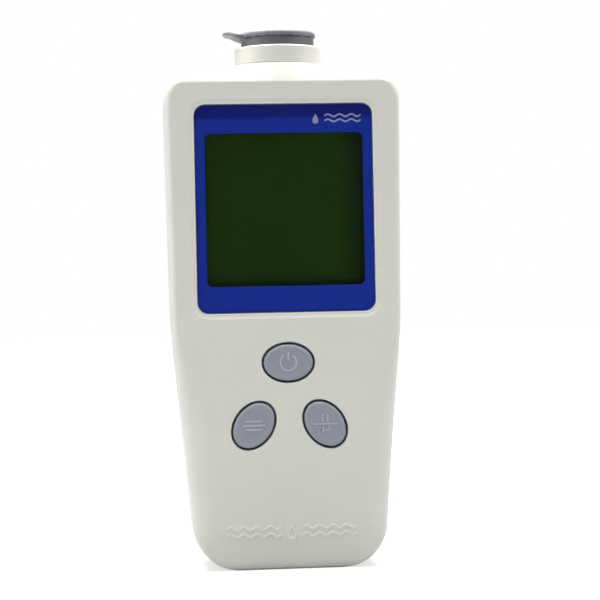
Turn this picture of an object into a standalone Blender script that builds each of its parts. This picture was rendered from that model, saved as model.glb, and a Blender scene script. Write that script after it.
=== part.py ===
"""Handheld dissolved-oxygen meter: sealed two-part housing, display, three keys and a capped probe port.

Units are metres. +Z runs up the housing, the display faces -Y, and the origin is at the middle of the foot.
"""
from math import atan2, cos, pi, radians, sin, sqrt

import bmesh
import bpy
from mathutils import Vector

# Clearances
FIT = 0.0003          # gap between pieces that seat on or in each other
THIN_FIT = 0.00015    # gap inside the thin display stack
CUT_PAST = 0.001      # how far a cutter runs past the face it opens

# Housing envelope
BODY_HEIGHT = 0.169
BODY_DEPTH = 0.0434
GRIP_DEPTH = 0.0368
FOOT_HALF_WIDTH = 0.0327
WAIST_Z = 0.079
WAIST_HALF_WIDTH = 0.0381
HEAD_HALF_WIDTH = 0.0391
WAIST_BLEND = 0.008
FOOT_CORNER = 0.0155
HEAD_CORNER_X = 0.0030
HEAD_CORNER_Z = 0.0068
HEAD_LEAN = 0.0011
SHOULDER_RISE = 0.0061
SEAT_STEP = 0.0006
DOME_SHARES = (0.07, 0.2, 0.4, 0.65, 1.0)
DOME_POWER = 0.42
DOME_FRONT_POWER = 0.53
EDGE_RADIUS = 0.0018
GRIP_BAND_WIDTH = 0.0100
GRIP_BAND_DEPTH = 0.0044
GRIP_BAND_TOP = 0.084
GRIP_BAND_FULL = 0.046
GRIP_BAND_FOOT = 0.012
REAR_RADIUS = 0.0090
FOOT_FRONT_FILLET = 0.0020
FOOT_REAR_FILLET = 0.0040
WALL = 0.0024
FACE_WALL = 0.0036
KEY_PROUD = 0.0002
FRONT_Y = -(BODY_DEPTH + KEY_PROUD) / 2 + KEY_PROUD
REAR_Y = FRONT_Y + BODY_DEPTH
GRIP_REAR_Y = FRONT_Y + GRIP_DEPTH
FACE_INNER_Y = FRONT_Y + FACE_WALL
TOP_EDGE_Z = BODY_HEIGHT - SEAT_STEP - SHOULDER_RISE
BAY_CENTRE_Z = BODY_HEIGHT - 0.0480
BULGE_END_Z = BAY_CENTRE_Z - 0.0340
BULGE_START_Z = BULGE_END_Z - 0.0210

# Probe port
PORT_Y = FRONT_Y + 0.0183
MOUTH_RADIUS = 0.01265
COLLAR_RIM = 0.0020
COLLAR_RADIUS = MOUTH_RADIUS + COLLAR_RIM
COLLAR_HEIGHT = 0.0062
COLLAR_EDGE = 0.0006
NECK_RADIUS = MOUTH_RADIUS + 0.00025
NECK_WALL = 0.0019
NECK_BORE = NECK_RADIUS - NECK_WALL
NECK_BOTTOM_Z = BODY_HEIGHT - 0.0124
NECK_FLANGE_RADIUS = NECK_RADIUS + 0.0013
NECK_FLANGE_THICK = 0.0018
SEAT_RADIUS = COLLAR_RADIUS + 0.00155
MOUTH_FLOOR_Z = BODY_HEIGHT + FIT
O_RING_WIRE = 0.00045
INSULATOR_THICK = 0.0030
SOCKET_SHELL_RADIUS = NECK_BORE - 0.0026
SOCKET_SHELL_WALL = 0.0008
SOCKET_SHELL_HEIGHT = 0.0036
PIN_RADIUS = 0.0007
PIN_HEIGHT = 0.0026
PIN_COUNT = 3
PIN_CIRCLE = SOCKET_SHELL_RADIUS / 2
LEAD_RADIUS = 0.0009
LEAD_RUN_IN = 0.004      # the leads meet the battery block square to its wall
LEAD_EXIT_RISE = 0.004   # above the block's lower edge

# Port cap
PLUG_RADIUS = MOUTH_RADIUS - FIT
PLUG_ABOVE = 0.0034
CAP_FLANGE_RADIUS = PLUG_RADIUS + 0.0006
CAP_FLANGE_THICK = 0.0019
CAP_CROWN = 0.0005
CAP_EDGE = 0.0008
TAB_REACH = CAP_FLANGE_RADIUS + 0.00565
TAB_HALF_WIDTH = 0.0052
TAB_TIP_THICK = 0.0014
TAB_ROOT = 0.0034
TAB_WEB = 0.0018
TAB_DIP = 0.0006
TAB_LIFT = 0.00015

# Parting plane and its sealing cord
PART_Y = PORT_Y
SEAM = 0.0003
CORD_INSET = 0.0009
CORD_WIDTH = 0.0006
CORD_DEPTH = 0.0008
GROOVE_FIT = 0.0002

# Shell screws
SHELL_SCREW_TOP_Z = BODY_HEIGHT - 0.0150
SHELL_SCREW_FOOT_Z = 0.0200
SHELL_SCREW_TOP_X = 0.0320
SHELL_SCREW_FOOT_X = 0.0220
SHELL_SCREWS = (
    (-SHELL_SCREW_TOP_X, SHELL_SCREW_TOP_Z), (SHELL_SCREW_TOP_X, SHELL_SCREW_TOP_Z),
    (-SHELL_SCREW_FOOT_X, SHELL_SCREW_FOOT_Z), (SHELL_SCREW_FOOT_X, SHELL_SCREW_FOOT_Z),
)
SHELL_BOSS = 0.0035
SHELL_SCREW_RADIUS = 0.00125
SHELL_SCREW_HEAD = 0.0024
SHELL_SCREW_HEAD_THICK = 0.0018
SHELL_SCREW_SEAT_Y = PART_Y + 0.0073
SHELL_SCREW_LENGTH = 0.0160

# Display window and stack
WINDOW_HALF_WIDTH = 0.0297
WINDOW_HEIGHT = 0.0693
WINDOW_TOP_Z = BODY_HEIGHT - 0.0142
WINDOW_BOTTOM_Z = WINDOW_TOP_Z - WINDOW_HEIGHT
WINDOW_CORNER = 0.0037
WINDOW_THICK = 0.0011
WINDOW_RECESS = 0.0005
BEZEL_WIDTH = 0.0019
PRINT_THICK = 0.00015
TAPE_THICK = 0.0002
VIEW_HALF_WIDTH = WINDOW_HALF_WIDTH - 0.0033
VIEW_HEIGHT = 0.0509
VIEW_TOP_Z = WINDOW_TOP_Z - 0.0096
VIEW_BOTTOM_Z = VIEW_TOP_Z - VIEW_HEIGHT
VIEW_CORNER = 0.0020
LEDGE_MARGIN = 0.0013
PANEL_MARGIN = 0.0019
PANEL_THICK = 0.0026
PANEL_SETBACK = 0.0008
HOLDER_WALL = 0.0026
GUIDE_MARGIN = 0.0016
STRIP_HALF_WIDTH = VIEW_HALF_WIDTH - 0.0004
STRIP_HEIGHT = 0.0018

# Main board
BOARD_FRONT_Y = FACE_INNER_Y + 0.0060
BOARD_THICK = 0.0016
BOARD_BACK_Y = BOARD_FRONT_Y + BOARD_THICK
BOARD_HALF_WIDTH = 0.0280
BOARD_WING = 0.0330
BOARD_BOTTOM_Z = 0.0340
BOARD_CHAMFER = 0.0020
BOARD_TOP_Z = NECK_BOTTOM_Z - 0.0010
BOARD_SCREW_TOP_X = 0.0200
BOARD_SCREW_FOOT_X = BOARD_HALF_WIDTH - 0.0030
BOARD_SCREW_TOP_Z = BOARD_TOP_Z - 0.0027
BOARD_SCREW_FOOT_Z = BOARD_BOTTOM_Z + 0.0035
BOARD_SCREWS = (
    (-BOARD_SCREW_TOP_X, BOARD_SCREW_TOP_Z), (BOARD_SCREW_TOP_X, BOARD_SCREW_TOP_Z),
    (-BOARD_SCREW_FOOT_X, BOARD_SCREW_FOOT_Z), (BOARD_SCREW_FOOT_X, BOARD_SCREW_FOOT_Z),
)
BOARD_BOSS = 0.0024
BOARD_SCREW_RADIUS = 0.0009
BOARD_SCREW_HEAD = 0.0018
BOARD_SCREW_HEAD_THICK = 0.0012
BOARD_SCREW_LENGTH = 0.0060

# Keys: name, centre x, centre z, turn of the long axis in degrees
KEYS = (("power", 0.0, 0.0688, 0.0), ("mode", -0.0119, 0.0481, 53.0), ("hold", 0.0119, 0.0481, 127.0))
KEY_LONG = 0.0082
KEY_SHORT = 0.00605
KEY_GAP = 0.00075
KEY_EDGE = 0.0009
KEY_LIP = 0.0019
KEY_FLANGE_THICK = 0.0010
KEY_STEM = 0.0020
KEY_TRAVEL = 0.0006
MAT_HALF_WIDTH = 0.0220
MAT_MARGIN = 0.0011
MAT_CORNER = 0.0030
PLUNGER_RADIUS = 0.0017
PLUNGER_LENGTH = 0.0016
SWITCH_HALF = 0.0030
SWITCH_THICK = 0.0020

# Battery bay
CELL_RADIUS = 0.00525
CELL_LENGTH = 0.0435
CELL_EDGE = 0.0004
CELL_NUB = 0.0010
CELL_NUB_RADIUS = 0.0019
CELL_PITCH = 2 * CELL_RADIUS + 0.0004
CELL_COUNT = 4
BAY_MARGIN = 0.0005
CONTACT_THICK = 0.0004
CONTACT_HALF_DEPTH = 0.0040
CONTACT_INSET = 0.0008
SPRING_LENGTH = 0.0019
SPRING_BASE = 0.0036
SPRING_TIP = 0.0024
BAY_FLOOR = 0.0016
DOOR_BORDER_X = 0.0063
DOOR_BORDER_Z = 0.0069
DOOR_CORNER = 0.0040
DOOR_THICK = 0.0028
DOOR_SCREW_INSET = 0.0031
DOOR_SCREW_RADIUS = 0.0011
DOOR_SCREW_HEAD = 0.0021
DOOR_SCREW_HEAD_THICK = 0.0012
DOOR_SCREW_LENGTH = 0.0070
SEAL_MARGIN = 0.0009
SEAL_WIDTH = 0.0010
SEAL_THICK = 0.0008
BLOCK_WALL = 0.0009

# Chips and headers on the back of the board: half width, half height, thickness
PROCESSOR = (0.0060, 0.0060, 0.0014)
HEADER = (0.0040, 0.0022, 0.0034)
PROCESSOR_Z = BAY_CENTRE_Z - 0.0030
BATTERY_HEADER_X = -0.0150
BATTERY_HEADER_Z = BULGE_END_Z - 0.0070
PROBE_HEADER_X = 0.0100
PROBE_HEADER_Z = BOARD_TOP_Z - 0.0116

HALF_SPACE = 0.1      # half side of the block that keeps one half of the housing
SHELL_FINISH = ((0.60, 0.59, 0.55), 0.42)
ROUND = 14
SMALL_ROUND = 10
KEY_SEGMENTS = 26
PORT_SEGMENTS = 32


def clear_scene():
    for existing in list(bpy.data.objects):
        bpy.data.objects.remove(existing, do_unlink=True)


def material(name, colour, roughness, metallic=0.0):
    made = bpy.data.materials.new(name)
    made.use_nodes = True
    shader = made.node_tree.nodes["Principled BSDF"]
    shader.inputs["Base Color"].default_value = (*colour, 1.0)
    shader.inputs["Roughness"].default_value = roughness
    shader.inputs["Metallic"].default_value = metallic
    return made


def finish(name, mesh, finish_values=None):
    """Turns a bmesh into an object. Without finish values it is a hidden cutter or addition."""
    bmesh.ops.recalc_face_normals(mesh, faces=mesh.faces)
    data = bpy.data.meshes.new(name)
    mesh.to_mesh(data)
    mesh.free()
    made = bpy.data.objects.new(name, data)
    bpy.context.scene.collection.objects.link(made)
    if finish_values is None:
        made.hide_render = True
        made.display_type = "WIRE"
        return made
    data.materials.append(material(name, *finish_values))
    data.shade_smooth()
    data.set_sharp_from_angle(angle=radians(35))
    return made


def boolean(target, other, operation):
    modifier = target.modifiers.new(other.name, "BOOLEAN")
    modifier.operation = operation
    modifier.solver = "EXACT"
    modifier.object = other


def loft(mesh, rings):
    """Adds one closed body through a list of equally long rings of points."""
    rows = [[mesh.verts.new(point) for point in ring] for ring in rings]
    count = len(rows[0])
    for low, high in zip(rows, rows[1:]):
        for i in range(count):
            j = (i + 1) % count
            mesh.faces.new((low[i], low[j], high[j], high[i]))
    mesh.faces.new(rows[0])
    mesh.faces.new(list(reversed(rows[-1])))


def rounded(half_x, low_z, high_z, radius, centre_x=0.0, steps=4):
    """A rectangle with round corners in the XZ plane."""
    centres = ((half_x, high_z, 0), (-half_x, high_z, 1), (-half_x, low_z, 2), (half_x, low_z, 3))
    points = []
    for x, z, quarter in centres:
        middle_x = centre_x + x - radius * (1 if x > 0 else -1)
        middle_z = z - radius * (1 if z == high_z else -1)
        for step in range(steps + 1):
            turn = (quarter + step / steps) * pi / 2
            points.append((middle_x + radius * cos(turn), middle_z + radius * sin(turn)))
    return points


def ellipse(x, z, long, short, degrees=0.0, count=ROUND):
    turn = radians(degrees)
    points = []
    for i in range(count):
        along = long * cos(2 * pi * i / count)
        across = short * sin(2 * pi * i / count)
        turned_x = along * cos(turn) - across * sin(turn)
        turned_z = along * sin(turn) + across * cos(turn)
        points.append((x + turned_x, z + turned_z))
    return points


def slab(mesh, outline, low_y, high_y):
    """Adds an XZ outline extruded along Y."""
    loft(mesh, [[Vector((x, y, z)) for x, z in outline] for y in (low_y, high_y)])


def pin(mesh, x, z, radius, low_y, high_y, count=ROUND):
    slab(mesh, ellipse(x, z, radius, radius, 0.0, count), low_y, high_y)


def box(mesh, low, high):
    outline = [(low[0], low[2]), (high[0], low[2]), (high[0], high[2]), (low[0], high[2])]
    slab(mesh, outline, low[1], high[1])


def turned(mesh, profile, x=0.0, y=0.0, count=PORT_SEGMENTS):
    """Adds a body turned about a vertical axis from a list of (radius, z)."""
    rings = []
    for radius, z in profile:
        turns = [2 * pi * i / count for i in range(count)]
        rings.append([Vector((x + radius * cos(t), y + radius * sin(t), z)) for t in turns])
    loft(mesh, rings)


def hollow_turned(mesh, profile, x=0.0, y=0.0, count=PORT_SEGMENTS):
    """Adds a turned body whose profile is a closed loop clear of the axis."""
    rings = []
    for i in range(count):
        turn = 2 * pi * i / count
        rings.append([mesh.verts.new((x + r * cos(turn), y + r * sin(turn), z)) for r, z in profile])
    for i, ring in enumerate(rings):
        following = rings[(i + 1) % count]
        for j in range(len(profile)):
            k = (j + 1) % len(profile)
            mesh.faces.new((ring[j], ring[k], following[k], following[j]))


def one_body(name, finish_values, builder, *sizes):
    mesh = bmesh.new()
    builder(mesh, *sizes)
    return finish(name, mesh, finish_values)


# Envelope of the housing

def side(z):
    """Half width of the sides before the corners, with the waist blended."""
    def straight(level):
        if level < WAIST_Z:
            share = (level - FOOT_CORNER) / (WAIST_Z - FOOT_CORNER)
            return FOOT_HALF_WIDTH + (WAIST_HALF_WIDTH - FOOT_HALF_WIDTH) * share
        share = (level - WAIST_Z) / (TOP_EDGE_Z - HEAD_CORNER_Z - WAIST_Z)
        return WAIST_HALF_WIDTH + (HEAD_HALF_WIDTH - WAIST_HALF_WIDTH) * share
    return (straight(z - WAIST_BLEND) + 2 * straight(z) + straight(z + WAIST_BLEND)) / 4


def head_share(z, inset):
    """How far a height is through the rounding at the top, from 0 to 1."""
    return min(max((z - TOP_EDGE_Z + HEAD_CORNER_Z) / (HEAD_CORNER_Z - inset), 0.0), 1.0)


def half_width(z, inset):
    head_start = TOP_EDGE_Z - HEAD_CORNER_Z
    if z < FOOT_CORNER:
        radius = FOOT_CORNER - inset
        drop = min(FOOT_CORNER - z, radius)
        return side(FOOT_CORNER) - FOOT_CORNER + sqrt(radius ** 2 - drop ** 2)
    if z > head_start:
        return side(head_start) - HEAD_LEAN * head_share(z, inset) ** 2 - inset
    return side(z) - inset


def smooth_step(value, low, high):
    share = min(max((value - low) / (high - low), 0.0), 1.0)
    return share * share * (3 - 2 * share)


def fillet_at_foot(height, radius):
    if height >= radius:
        return 0.0
    return radius - sqrt(radius ** 2 - (radius - height) ** 2)


def front_y(z, inset, face_inset):
    return FRONT_Y + face_inset + fillet_at_foot(max(z - inset, 0.0), FOOT_FRONT_FILLET)


def rear_y(z, inset):
    bulge = smooth_step(z, BULGE_START_Z, BULGE_END_Z)
    rear = GRIP_REAR_Y + (REAR_Y - GRIP_REAR_Y) * bulge
    return rear - inset - fillet_at_foot(max(z - inset, 0.0), FOOT_REAR_FILLET)


def grip_band(z):
    """Share of the soft band along the front edges of the grip."""
    fade = smooth_step(z, 0.0, GRIP_BAND_FOOT * 2)
    return fade * (1 - smooth_step(z, GRIP_BAND_FULL, GRIP_BAND_TOP))


def section(z, inset, face_inset, corner_steps=4, run=5):
    """Points round the housing at one height, from the front left corner towards +X."""
    width = half_width(z, inset)
    front = front_y(z, inset, face_inset)
    rear = rear_y(z, inset)
    band = grip_band(z)
    corner = EDGE_RADIUS + HEAD_CORNER_X * (1 - sqrt(1 - head_share(z, inset) ** 2))
    reach = max(corner + (GRIP_BAND_WIDTH - EDGE_RADIUS) * band - inset, EDGE_RADIUS / 2)
    sink = max(corner + (GRIP_BAND_DEPTH - EDGE_RADIUS) * band - inset, EDGE_RADIUS / 2)
    back = max(REAR_RADIUS - inset, EDGE_RADIUS)
    corners = (
        (-width + reach, front + sink, reach, sink, 2),
        (width - reach, front + sink, reach, sink, 3),
        (width - back, rear - back, back, back, 0),
        (-width + back, rear - back, back, back, 1),
    )
    points = []
    between = (run, 1, run, 1)
    for (x, y, a, b, quarter), following, extra in zip(corners, corners[1:] + corners[:1], between):
        for step in range(corner_steps + 1):
            turn = (quarter + step / corner_steps) * pi / 2
            points.append((x + a * cos(turn), y + b * sin(turn)))
        last = points[-1]
        turn = following[4] * pi / 2
        nearest = (following[0] + following[2] * cos(turn), following[1] + following[3] * sin(turn))
        for step in range(1, extra + 1):
            between_points = Vector(last).lerp(Vector(nearest), step / (extra + 1))
            points.append((between_points.x, between_points.y))
    return points


def wall_levels(inset):
    """Heights of the rings from the foot to the top edge."""
    head_start = TOP_EDGE_Z - HEAD_CORNER_Z
    levels = [FOOT_CORNER - (FOOT_CORNER - inset) * cos(k * pi / 12) for k in range(7)]
    levels += [FOOT_CORNER + (BULGE_END_Z - FOOT_CORNER) * k / 8 for k in range(1, 9)]
    levels += [BULGE_END_Z + (head_start - BULGE_END_Z) * k / 3 for k in range(1, 4)]
    levels += [head_start + (HEAD_CORNER_Z - inset) * sin(k * pi / 8) for k in range(1, 5)]
    return levels


def envelope(mesh, inset, face_inset, step):
    """Adds the housing's outer shape, or the same shape drawn in by a wall."""
    rings = []
    for z in wall_levels(inset):
        rings.append([Vector((x, y, z)) for x, y in section(z, inset, face_inset)])
    edge = rings[-1]
    edge_z = edge[0].z
    for share in DOME_SHARES:
        ring = []
        for point in edge:
            turn = atan2(point.y - PORT_Y, point.x)
            seat = Vector((SEAT_RADIUS * cos(turn), PORT_Y + SEAT_RADIUS * sin(turn)))
            flat = Vector((point.x, point.y)).lerp(seat, share)
            power = DOME_POWER + DOME_FRONT_POWER * max(0.0, -sin(turn)) ** 2
            ring.append(Vector((flat.x, flat.y, edge_z + SHOULDER_RISE * share ** power)))
        rings.append(ring)
    if step:
        top = [Vector((p.x, p.y, BODY_HEIGHT)) for p in rings[-1]]
        centre = Vector((0.0, PORT_Y, BODY_HEIGHT))
        rings.append([centre + (p - centre) * (1 - SEAT_STEP / 2 / SEAT_RADIUS) for p in top])
    loft(mesh, rings)
    bmesh.ops.triangulate(mesh, faces=[face for face in mesh.faces if len(face.verts) == 4])


# Shared outlines

def window_outline(grow):
    radius = WINDOW_CORNER + grow
    return rounded(WINDOW_HALF_WIDTH + grow, WINDOW_BOTTOM_Z - grow, WINDOW_TOP_Z + grow, radius)


def view_outline(grow):
    radius = VIEW_CORNER + grow
    return rounded(VIEW_HALF_WIDTH + grow, VIEW_BOTTOM_Z - grow, VIEW_TOP_Z + grow, radius)


BAY_HALF_WIDTH = CELL_PITCH * (CELL_COUNT - 1) / 2 + CELL_RADIUS + BAY_MARGIN
CELL_STACK = CELL_LENGTH + CELL_NUB + SPRING_LENGTH + 2 * CONTACT_THICK + 4 * FIT
BAY_HALF_HEIGHT = CELL_STACK / 2 + FIT
DOOR_HALF_WIDTH = BAY_HALF_WIDTH + DOOR_BORDER_X
DOOR_HALF_HEIGHT = BAY_HALF_HEIGHT + DOOR_BORDER_Z
DOOR_SCREW_X = DOOR_HALF_WIDTH - DOOR_SCREW_INSET
DOOR_SCREW_Z = DOOR_HALF_HEIGHT - DOOR_SCREW_INSET
DOOR_SEAT_Y = REAR_Y - DOOR_THICK - FIT
CELL_Y = DOOR_SEAT_Y - CELL_RADIUS - BAY_MARGIN
BAY_FLOOR_Y = CELL_Y - CELL_RADIUS - FIT
BLOCK_FRONT_Y = BAY_FLOOR_Y - BAY_FLOOR
CELL_LOW_Z = BAY_CENTRE_Z - CELL_STACK / 2
DOOR_SCREW_PLACES = [
    (sx * DOOR_SCREW_X, BAY_CENTRE_Z + sz * DOOR_SCREW_Z) for sz in (-1, 1) for sx in (-1, 1)
]


def door_outline(grow):
    low = BAY_CENTRE_Z - DOOR_HALF_HEIGHT - grow
    high = BAY_CENTRE_Z + DOOR_HALF_HEIGHT + grow
    return rounded(DOOR_HALF_WIDTH + grow, low, high, DOOR_CORNER + grow)


def bay_outline(grow):
    low = BAY_CENTRE_Z - BAY_HALF_HEIGHT - grow
    high = BAY_CENTRE_Z + BAY_HALF_HEIGHT + grow
    return rounded(BAY_HALF_WIDTH + grow, low, high, EDGE_RADIUS + grow)


WINDOW_FRONT_Y = FRONT_Y + WINDOW_RECESS
WINDOW_BACK_Y = WINDOW_FRONT_Y + WINDOW_THICK
PRINT_FRONT_Y = WINDOW_BACK_Y + THIN_FIT
TAPE_FRONT_Y = PRINT_FRONT_Y + PRINT_THICK + THIN_FIT
LEDGE_Y = TAPE_FRONT_Y + TAPE_THICK + THIN_FIT
PANEL_FRONT_Y = FACE_INNER_Y + PANEL_SETBACK
PANEL_BACK_Y = PANEL_FRONT_Y + PANEL_THICK
STACK_BACK_Y = BOARD_FRONT_Y - FIT


# Housing

def seam_path(inset):
    """The housing's outline at the parting plane, from one side of the port round the foot to the other."""
    head_z = TOP_EDGE_Z - inset
    wide = half_width(head_z, inset)
    right = [(half_width(z, inset), z) for z in wall_levels(inset)]
    for share in DOME_SHARES:
        right.append((wide + (SEAT_RADIUS - wide) * share, head_z + SHOULDER_RISE * share ** DOME_POWER))
    return [(-x, z) for x, z in reversed(right)] + right


def cord_loop(name, outer_inset, inner_inset, half_depth, finish_values):
    """The sealing cord, or its groove: a strip inside the wall that stops at the port's neck."""
    rings = []
    for (outer_x, outer_z), (inner_x, inner_z) in zip(seam_path(outer_inset), seam_path(inner_inset)):
        rings.append([
            Vector((outer_x, PART_Y - half_depth, outer_z)), Vector((outer_x, PART_Y + half_depth, outer_z)),
            Vector((inner_x, PART_Y + half_depth, inner_z)), Vector((inner_x, PART_Y - half_depth, inner_z)),
        ])
    return one_body(name, finish_values, loft, rings)


def shell_half(name, finish_values, low_y, high_y):
    shell = one_body(name, finish_values, envelope, 0.0, 0.0, True)
    cavity = one_body(name + "_cavity", None, envelope, WALL, FACE_WALL, False)
    boolean(shell, cavity, "DIFFERENCE")
    half = one_body(name + "_half", None, box, (-HALF_SPACE, low_y, -HALF_SPACE), (HALF_SPACE, high_y, 4 * HALF_SPACE))
    boolean(shell, half, "INTERSECT")
    return shell


def neck_hole(name):
    radius = NECK_RADIUS + FIT
    return one_body(name, None, turned, [(radius, NECK_BOTTOM_Z), (radius, BODY_HEIGHT + CUT_PAST)], 0.0, PORT_Y)


def build_front_shell(groove):
    shell = shell_half("front_shell", SHELL_FINISH, -HALF_SPACE, PART_Y - SEAM / 2)
    boolean(shell, groove, "DIFFERENCE")
    boolean(shell, neck_hole("front_neck_hole"), "DIFFERENCE")
    bosses = bmesh.new()
    root = FACE_INNER_Y - FACE_WALL / 2
    for x, z in SHELL_SCREWS:
        pin(bosses, x, z, SHELL_BOSS, root, PART_Y - SEAM / 2 - FIT)
    for x, z in BOARD_SCREWS:
        pin(bosses, x, z, BOARD_BOSS, root, BOARD_FRONT_Y - FIT)
    boolean(shell, finish("front_bosses", bosses), "UNION")
    cuts = bmesh.new()
    recess = window_outline(THIN_FIT)
    flare = BEZEL_WIDTH * (1 + CUT_PAST / WINDOW_RECESS)
    loft(cuts, [
        [Vector((x, FRONT_Y - CUT_PAST, z)) for x, z in window_outline(flare)],
        [Vector((x, FRONT_Y, z)) for x, z in window_outline(BEZEL_WIDTH)],
        [Vector((x, WINDOW_FRONT_Y, z)) for x, z in recess],
        [Vector((x, LEDGE_Y, z)) for x, z in recess],
        [Vector((x, LEDGE_Y, z)) for x, z in view_outline(LEDGE_MARGIN)],
        [Vector((x, FACE_INNER_Y + CUT_PAST / 2, z)) for x, z in view_outline(LEDGE_MARGIN)],
    ])
    for _, x, z, turn in KEYS:
        hole = ellipse(x, z, KEY_LONG + KEY_GAP, KEY_SHORT + KEY_GAP, turn, KEY_SEGMENTS)
        slab(cuts, hole, FRONT_Y - CUT_PAST, FACE_INNER_Y + CUT_PAST / 2)
    for x, z in SHELL_SCREWS:
        end = SHELL_SCREW_SEAT_Y - SHELL_SCREW_LENGTH - FIT
        pin(cuts, x, z, SHELL_SCREW_RADIUS + FIT, end, PART_Y + CUT_PAST)
    for x, z in BOARD_SCREWS:
        end = BOARD_FRONT_Y + BOARD_THICK + FIT - BOARD_SCREW_LENGTH
        pin(cuts, x, z, BOARD_SCREW_RADIUS + FIT, end - FIT, BOARD_FRONT_Y + CUT_PAST, SMALL_ROUND)
    boolean(shell, finish("front_cuts", cuts), "DIFFERENCE")


def build_rear_shell(groove):
    shell = shell_half("rear_shell", SHELL_FINISH, PART_Y + SEAM / 2, HALF_SPACE)
    boolean(shell, groove, "DIFFERENCE")
    boolean(shell, neck_hole("rear_neck_hole"), "DIFFERENCE")
    bay = bmesh.new()
    slab(bay, door_outline(BLOCK_WALL), BLOCK_FRONT_Y, REAR_Y - WALL / 2)
    boolean(shell, finish("bay_block", bay), "UNION")
    tubes = bmesh.new()
    for x, z in SHELL_SCREWS:
        pin(tubes, x, z, SHELL_BOSS, PART_Y + SEAM / 2 + FIT, rear_y(z, 0.0) - WALL / 2)
    boolean(shell, finish("rear_tubes", tubes), "UNION")
    outside = one_body("rear_outside", None, envelope, 0.0, 0.0, True)
    boolean(shell, outside, "INTERSECT")
    holes = bmesh.new()
    for x, z in DOOR_SCREW_PLACES:
        end = REAR_Y - DOOR_SCREW_HEAD_THICK - FIT - DOOR_SCREW_LENGTH
        pin(holes, x, z, DOOR_SCREW_RADIUS + FIT, end - FIT, REAR_Y + CUT_PAST, SMALL_ROUND)
    boolean(shell, finish("rear_screw_holes", holes), "DIFFERENCE")
    cuts = bmesh.new()
    for x, z in SHELL_SCREWS:
        steps = (
            (SHELL_SCREW_RADIUS + FIT, PART_Y - CUT_PAST),
            (SHELL_SCREW_RADIUS + FIT, SHELL_SCREW_SEAT_Y - FIT),
            (SHELL_SCREW_HEAD + FIT, SHELL_SCREW_SEAT_Y - FIT),
            (SHELL_SCREW_HEAD + FIT, REAR_Y + CUT_PAST),
        )
        loft(cuts, [[Vector((px, y, pz)) for px, pz in ellipse(x, z, r, r)] for r, y in steps])
    loft(cuts, [
        [Vector((x, BAY_FLOOR_Y, z)) for x, z in bay_outline(0.0)],
        [Vector((x, DOOR_SEAT_Y, z)) for x, z in bay_outline(0.0)],
        [Vector((x, DOOR_SEAT_Y, z)) for x, z in door_outline(FIT)],
        [Vector((x, REAR_Y + CUT_PAST, z)) for x, z in door_outline(FIT)],
    ])
    boolean(shell, finish("rear_cuts", cuts), "DIFFERENCE")


def screw(name, x, z, seat_y, radius, length, head, head_thick, count=ROUND):
    """A screw along Y whose head lies towards +Y, with a cross recess."""
    mesh = bmesh.new()
    steps = (
        (radius * 0.7, seat_y - length),
        (radius, seat_y - length + radius),
        (radius, seat_y),
        (head, seat_y),
        (head, seat_y + head_thick * 0.75),
        (head * 0.85, seat_y + head_thick),
    )
    loft(mesh, [[Vector((px, y, pz)) for px, pz in ellipse(x, z, r, r, 0.0, count)] for r, y in steps])
    made = finish(name, mesh, ((0.45, 0.45, 0.46), 0.3, 1.0))
    cross = bmesh.new()
    arm = head * 0.6
    thin = head * 0.16
    outline = [(arm, -thin), (arm, thin), (thin, thin), (thin, arm), (-thin, arm), (-thin, thin)]
    outline += [(-px, -pz) for px, pz in outline]
    top = seat_y + head_thick
    slab(cross, [(x + px, z + pz) for px, pz in outline], top - head_thick * 0.5, top + CUT_PAST)
    boolean(made, finish(name + "_recess", cross), "DIFFERENCE")


def build_fasteners():
    for i, (x, z) in enumerate(SHELL_SCREWS, 1):
        screw(f"shell_screw_{i}", x, z, SHELL_SCREW_SEAT_Y, SHELL_SCREW_RADIUS, SHELL_SCREW_LENGTH,
              SHELL_SCREW_HEAD, SHELL_SCREW_HEAD_THICK)
    for i, (x, z) in enumerate(BOARD_SCREWS, 1):
        screw(f"board_screw_{i}", x, z, BOARD_BACK_Y + FIT, BOARD_SCREW_RADIUS, BOARD_SCREW_LENGTH,
              BOARD_SCREW_HEAD, BOARD_SCREW_HEAD_THICK, SMALL_ROUND)
    for i, (x, z) in enumerate(DOOR_SCREW_PLACES, 1):
        screw(f"door_screw_{i}", x, z, REAR_Y - DOOR_SCREW_HEAD_THICK, DOOR_SCREW_RADIUS, DOOR_SCREW_LENGTH,
              DOOR_SCREW_HEAD, DOOR_SCREW_HEAD_THICK, SMALL_ROUND)


# Display

def framed(name, outer, inner, low_y, high_y, finish_values):
    made = one_body(name, finish_values, slab, outer, low_y, high_y)
    hole = one_body(name + "_hole", None, slab, inner, low_y - CUT_PAST, high_y + CUT_PAST)
    boolean(made, hole, "DIFFERENCE")


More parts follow.
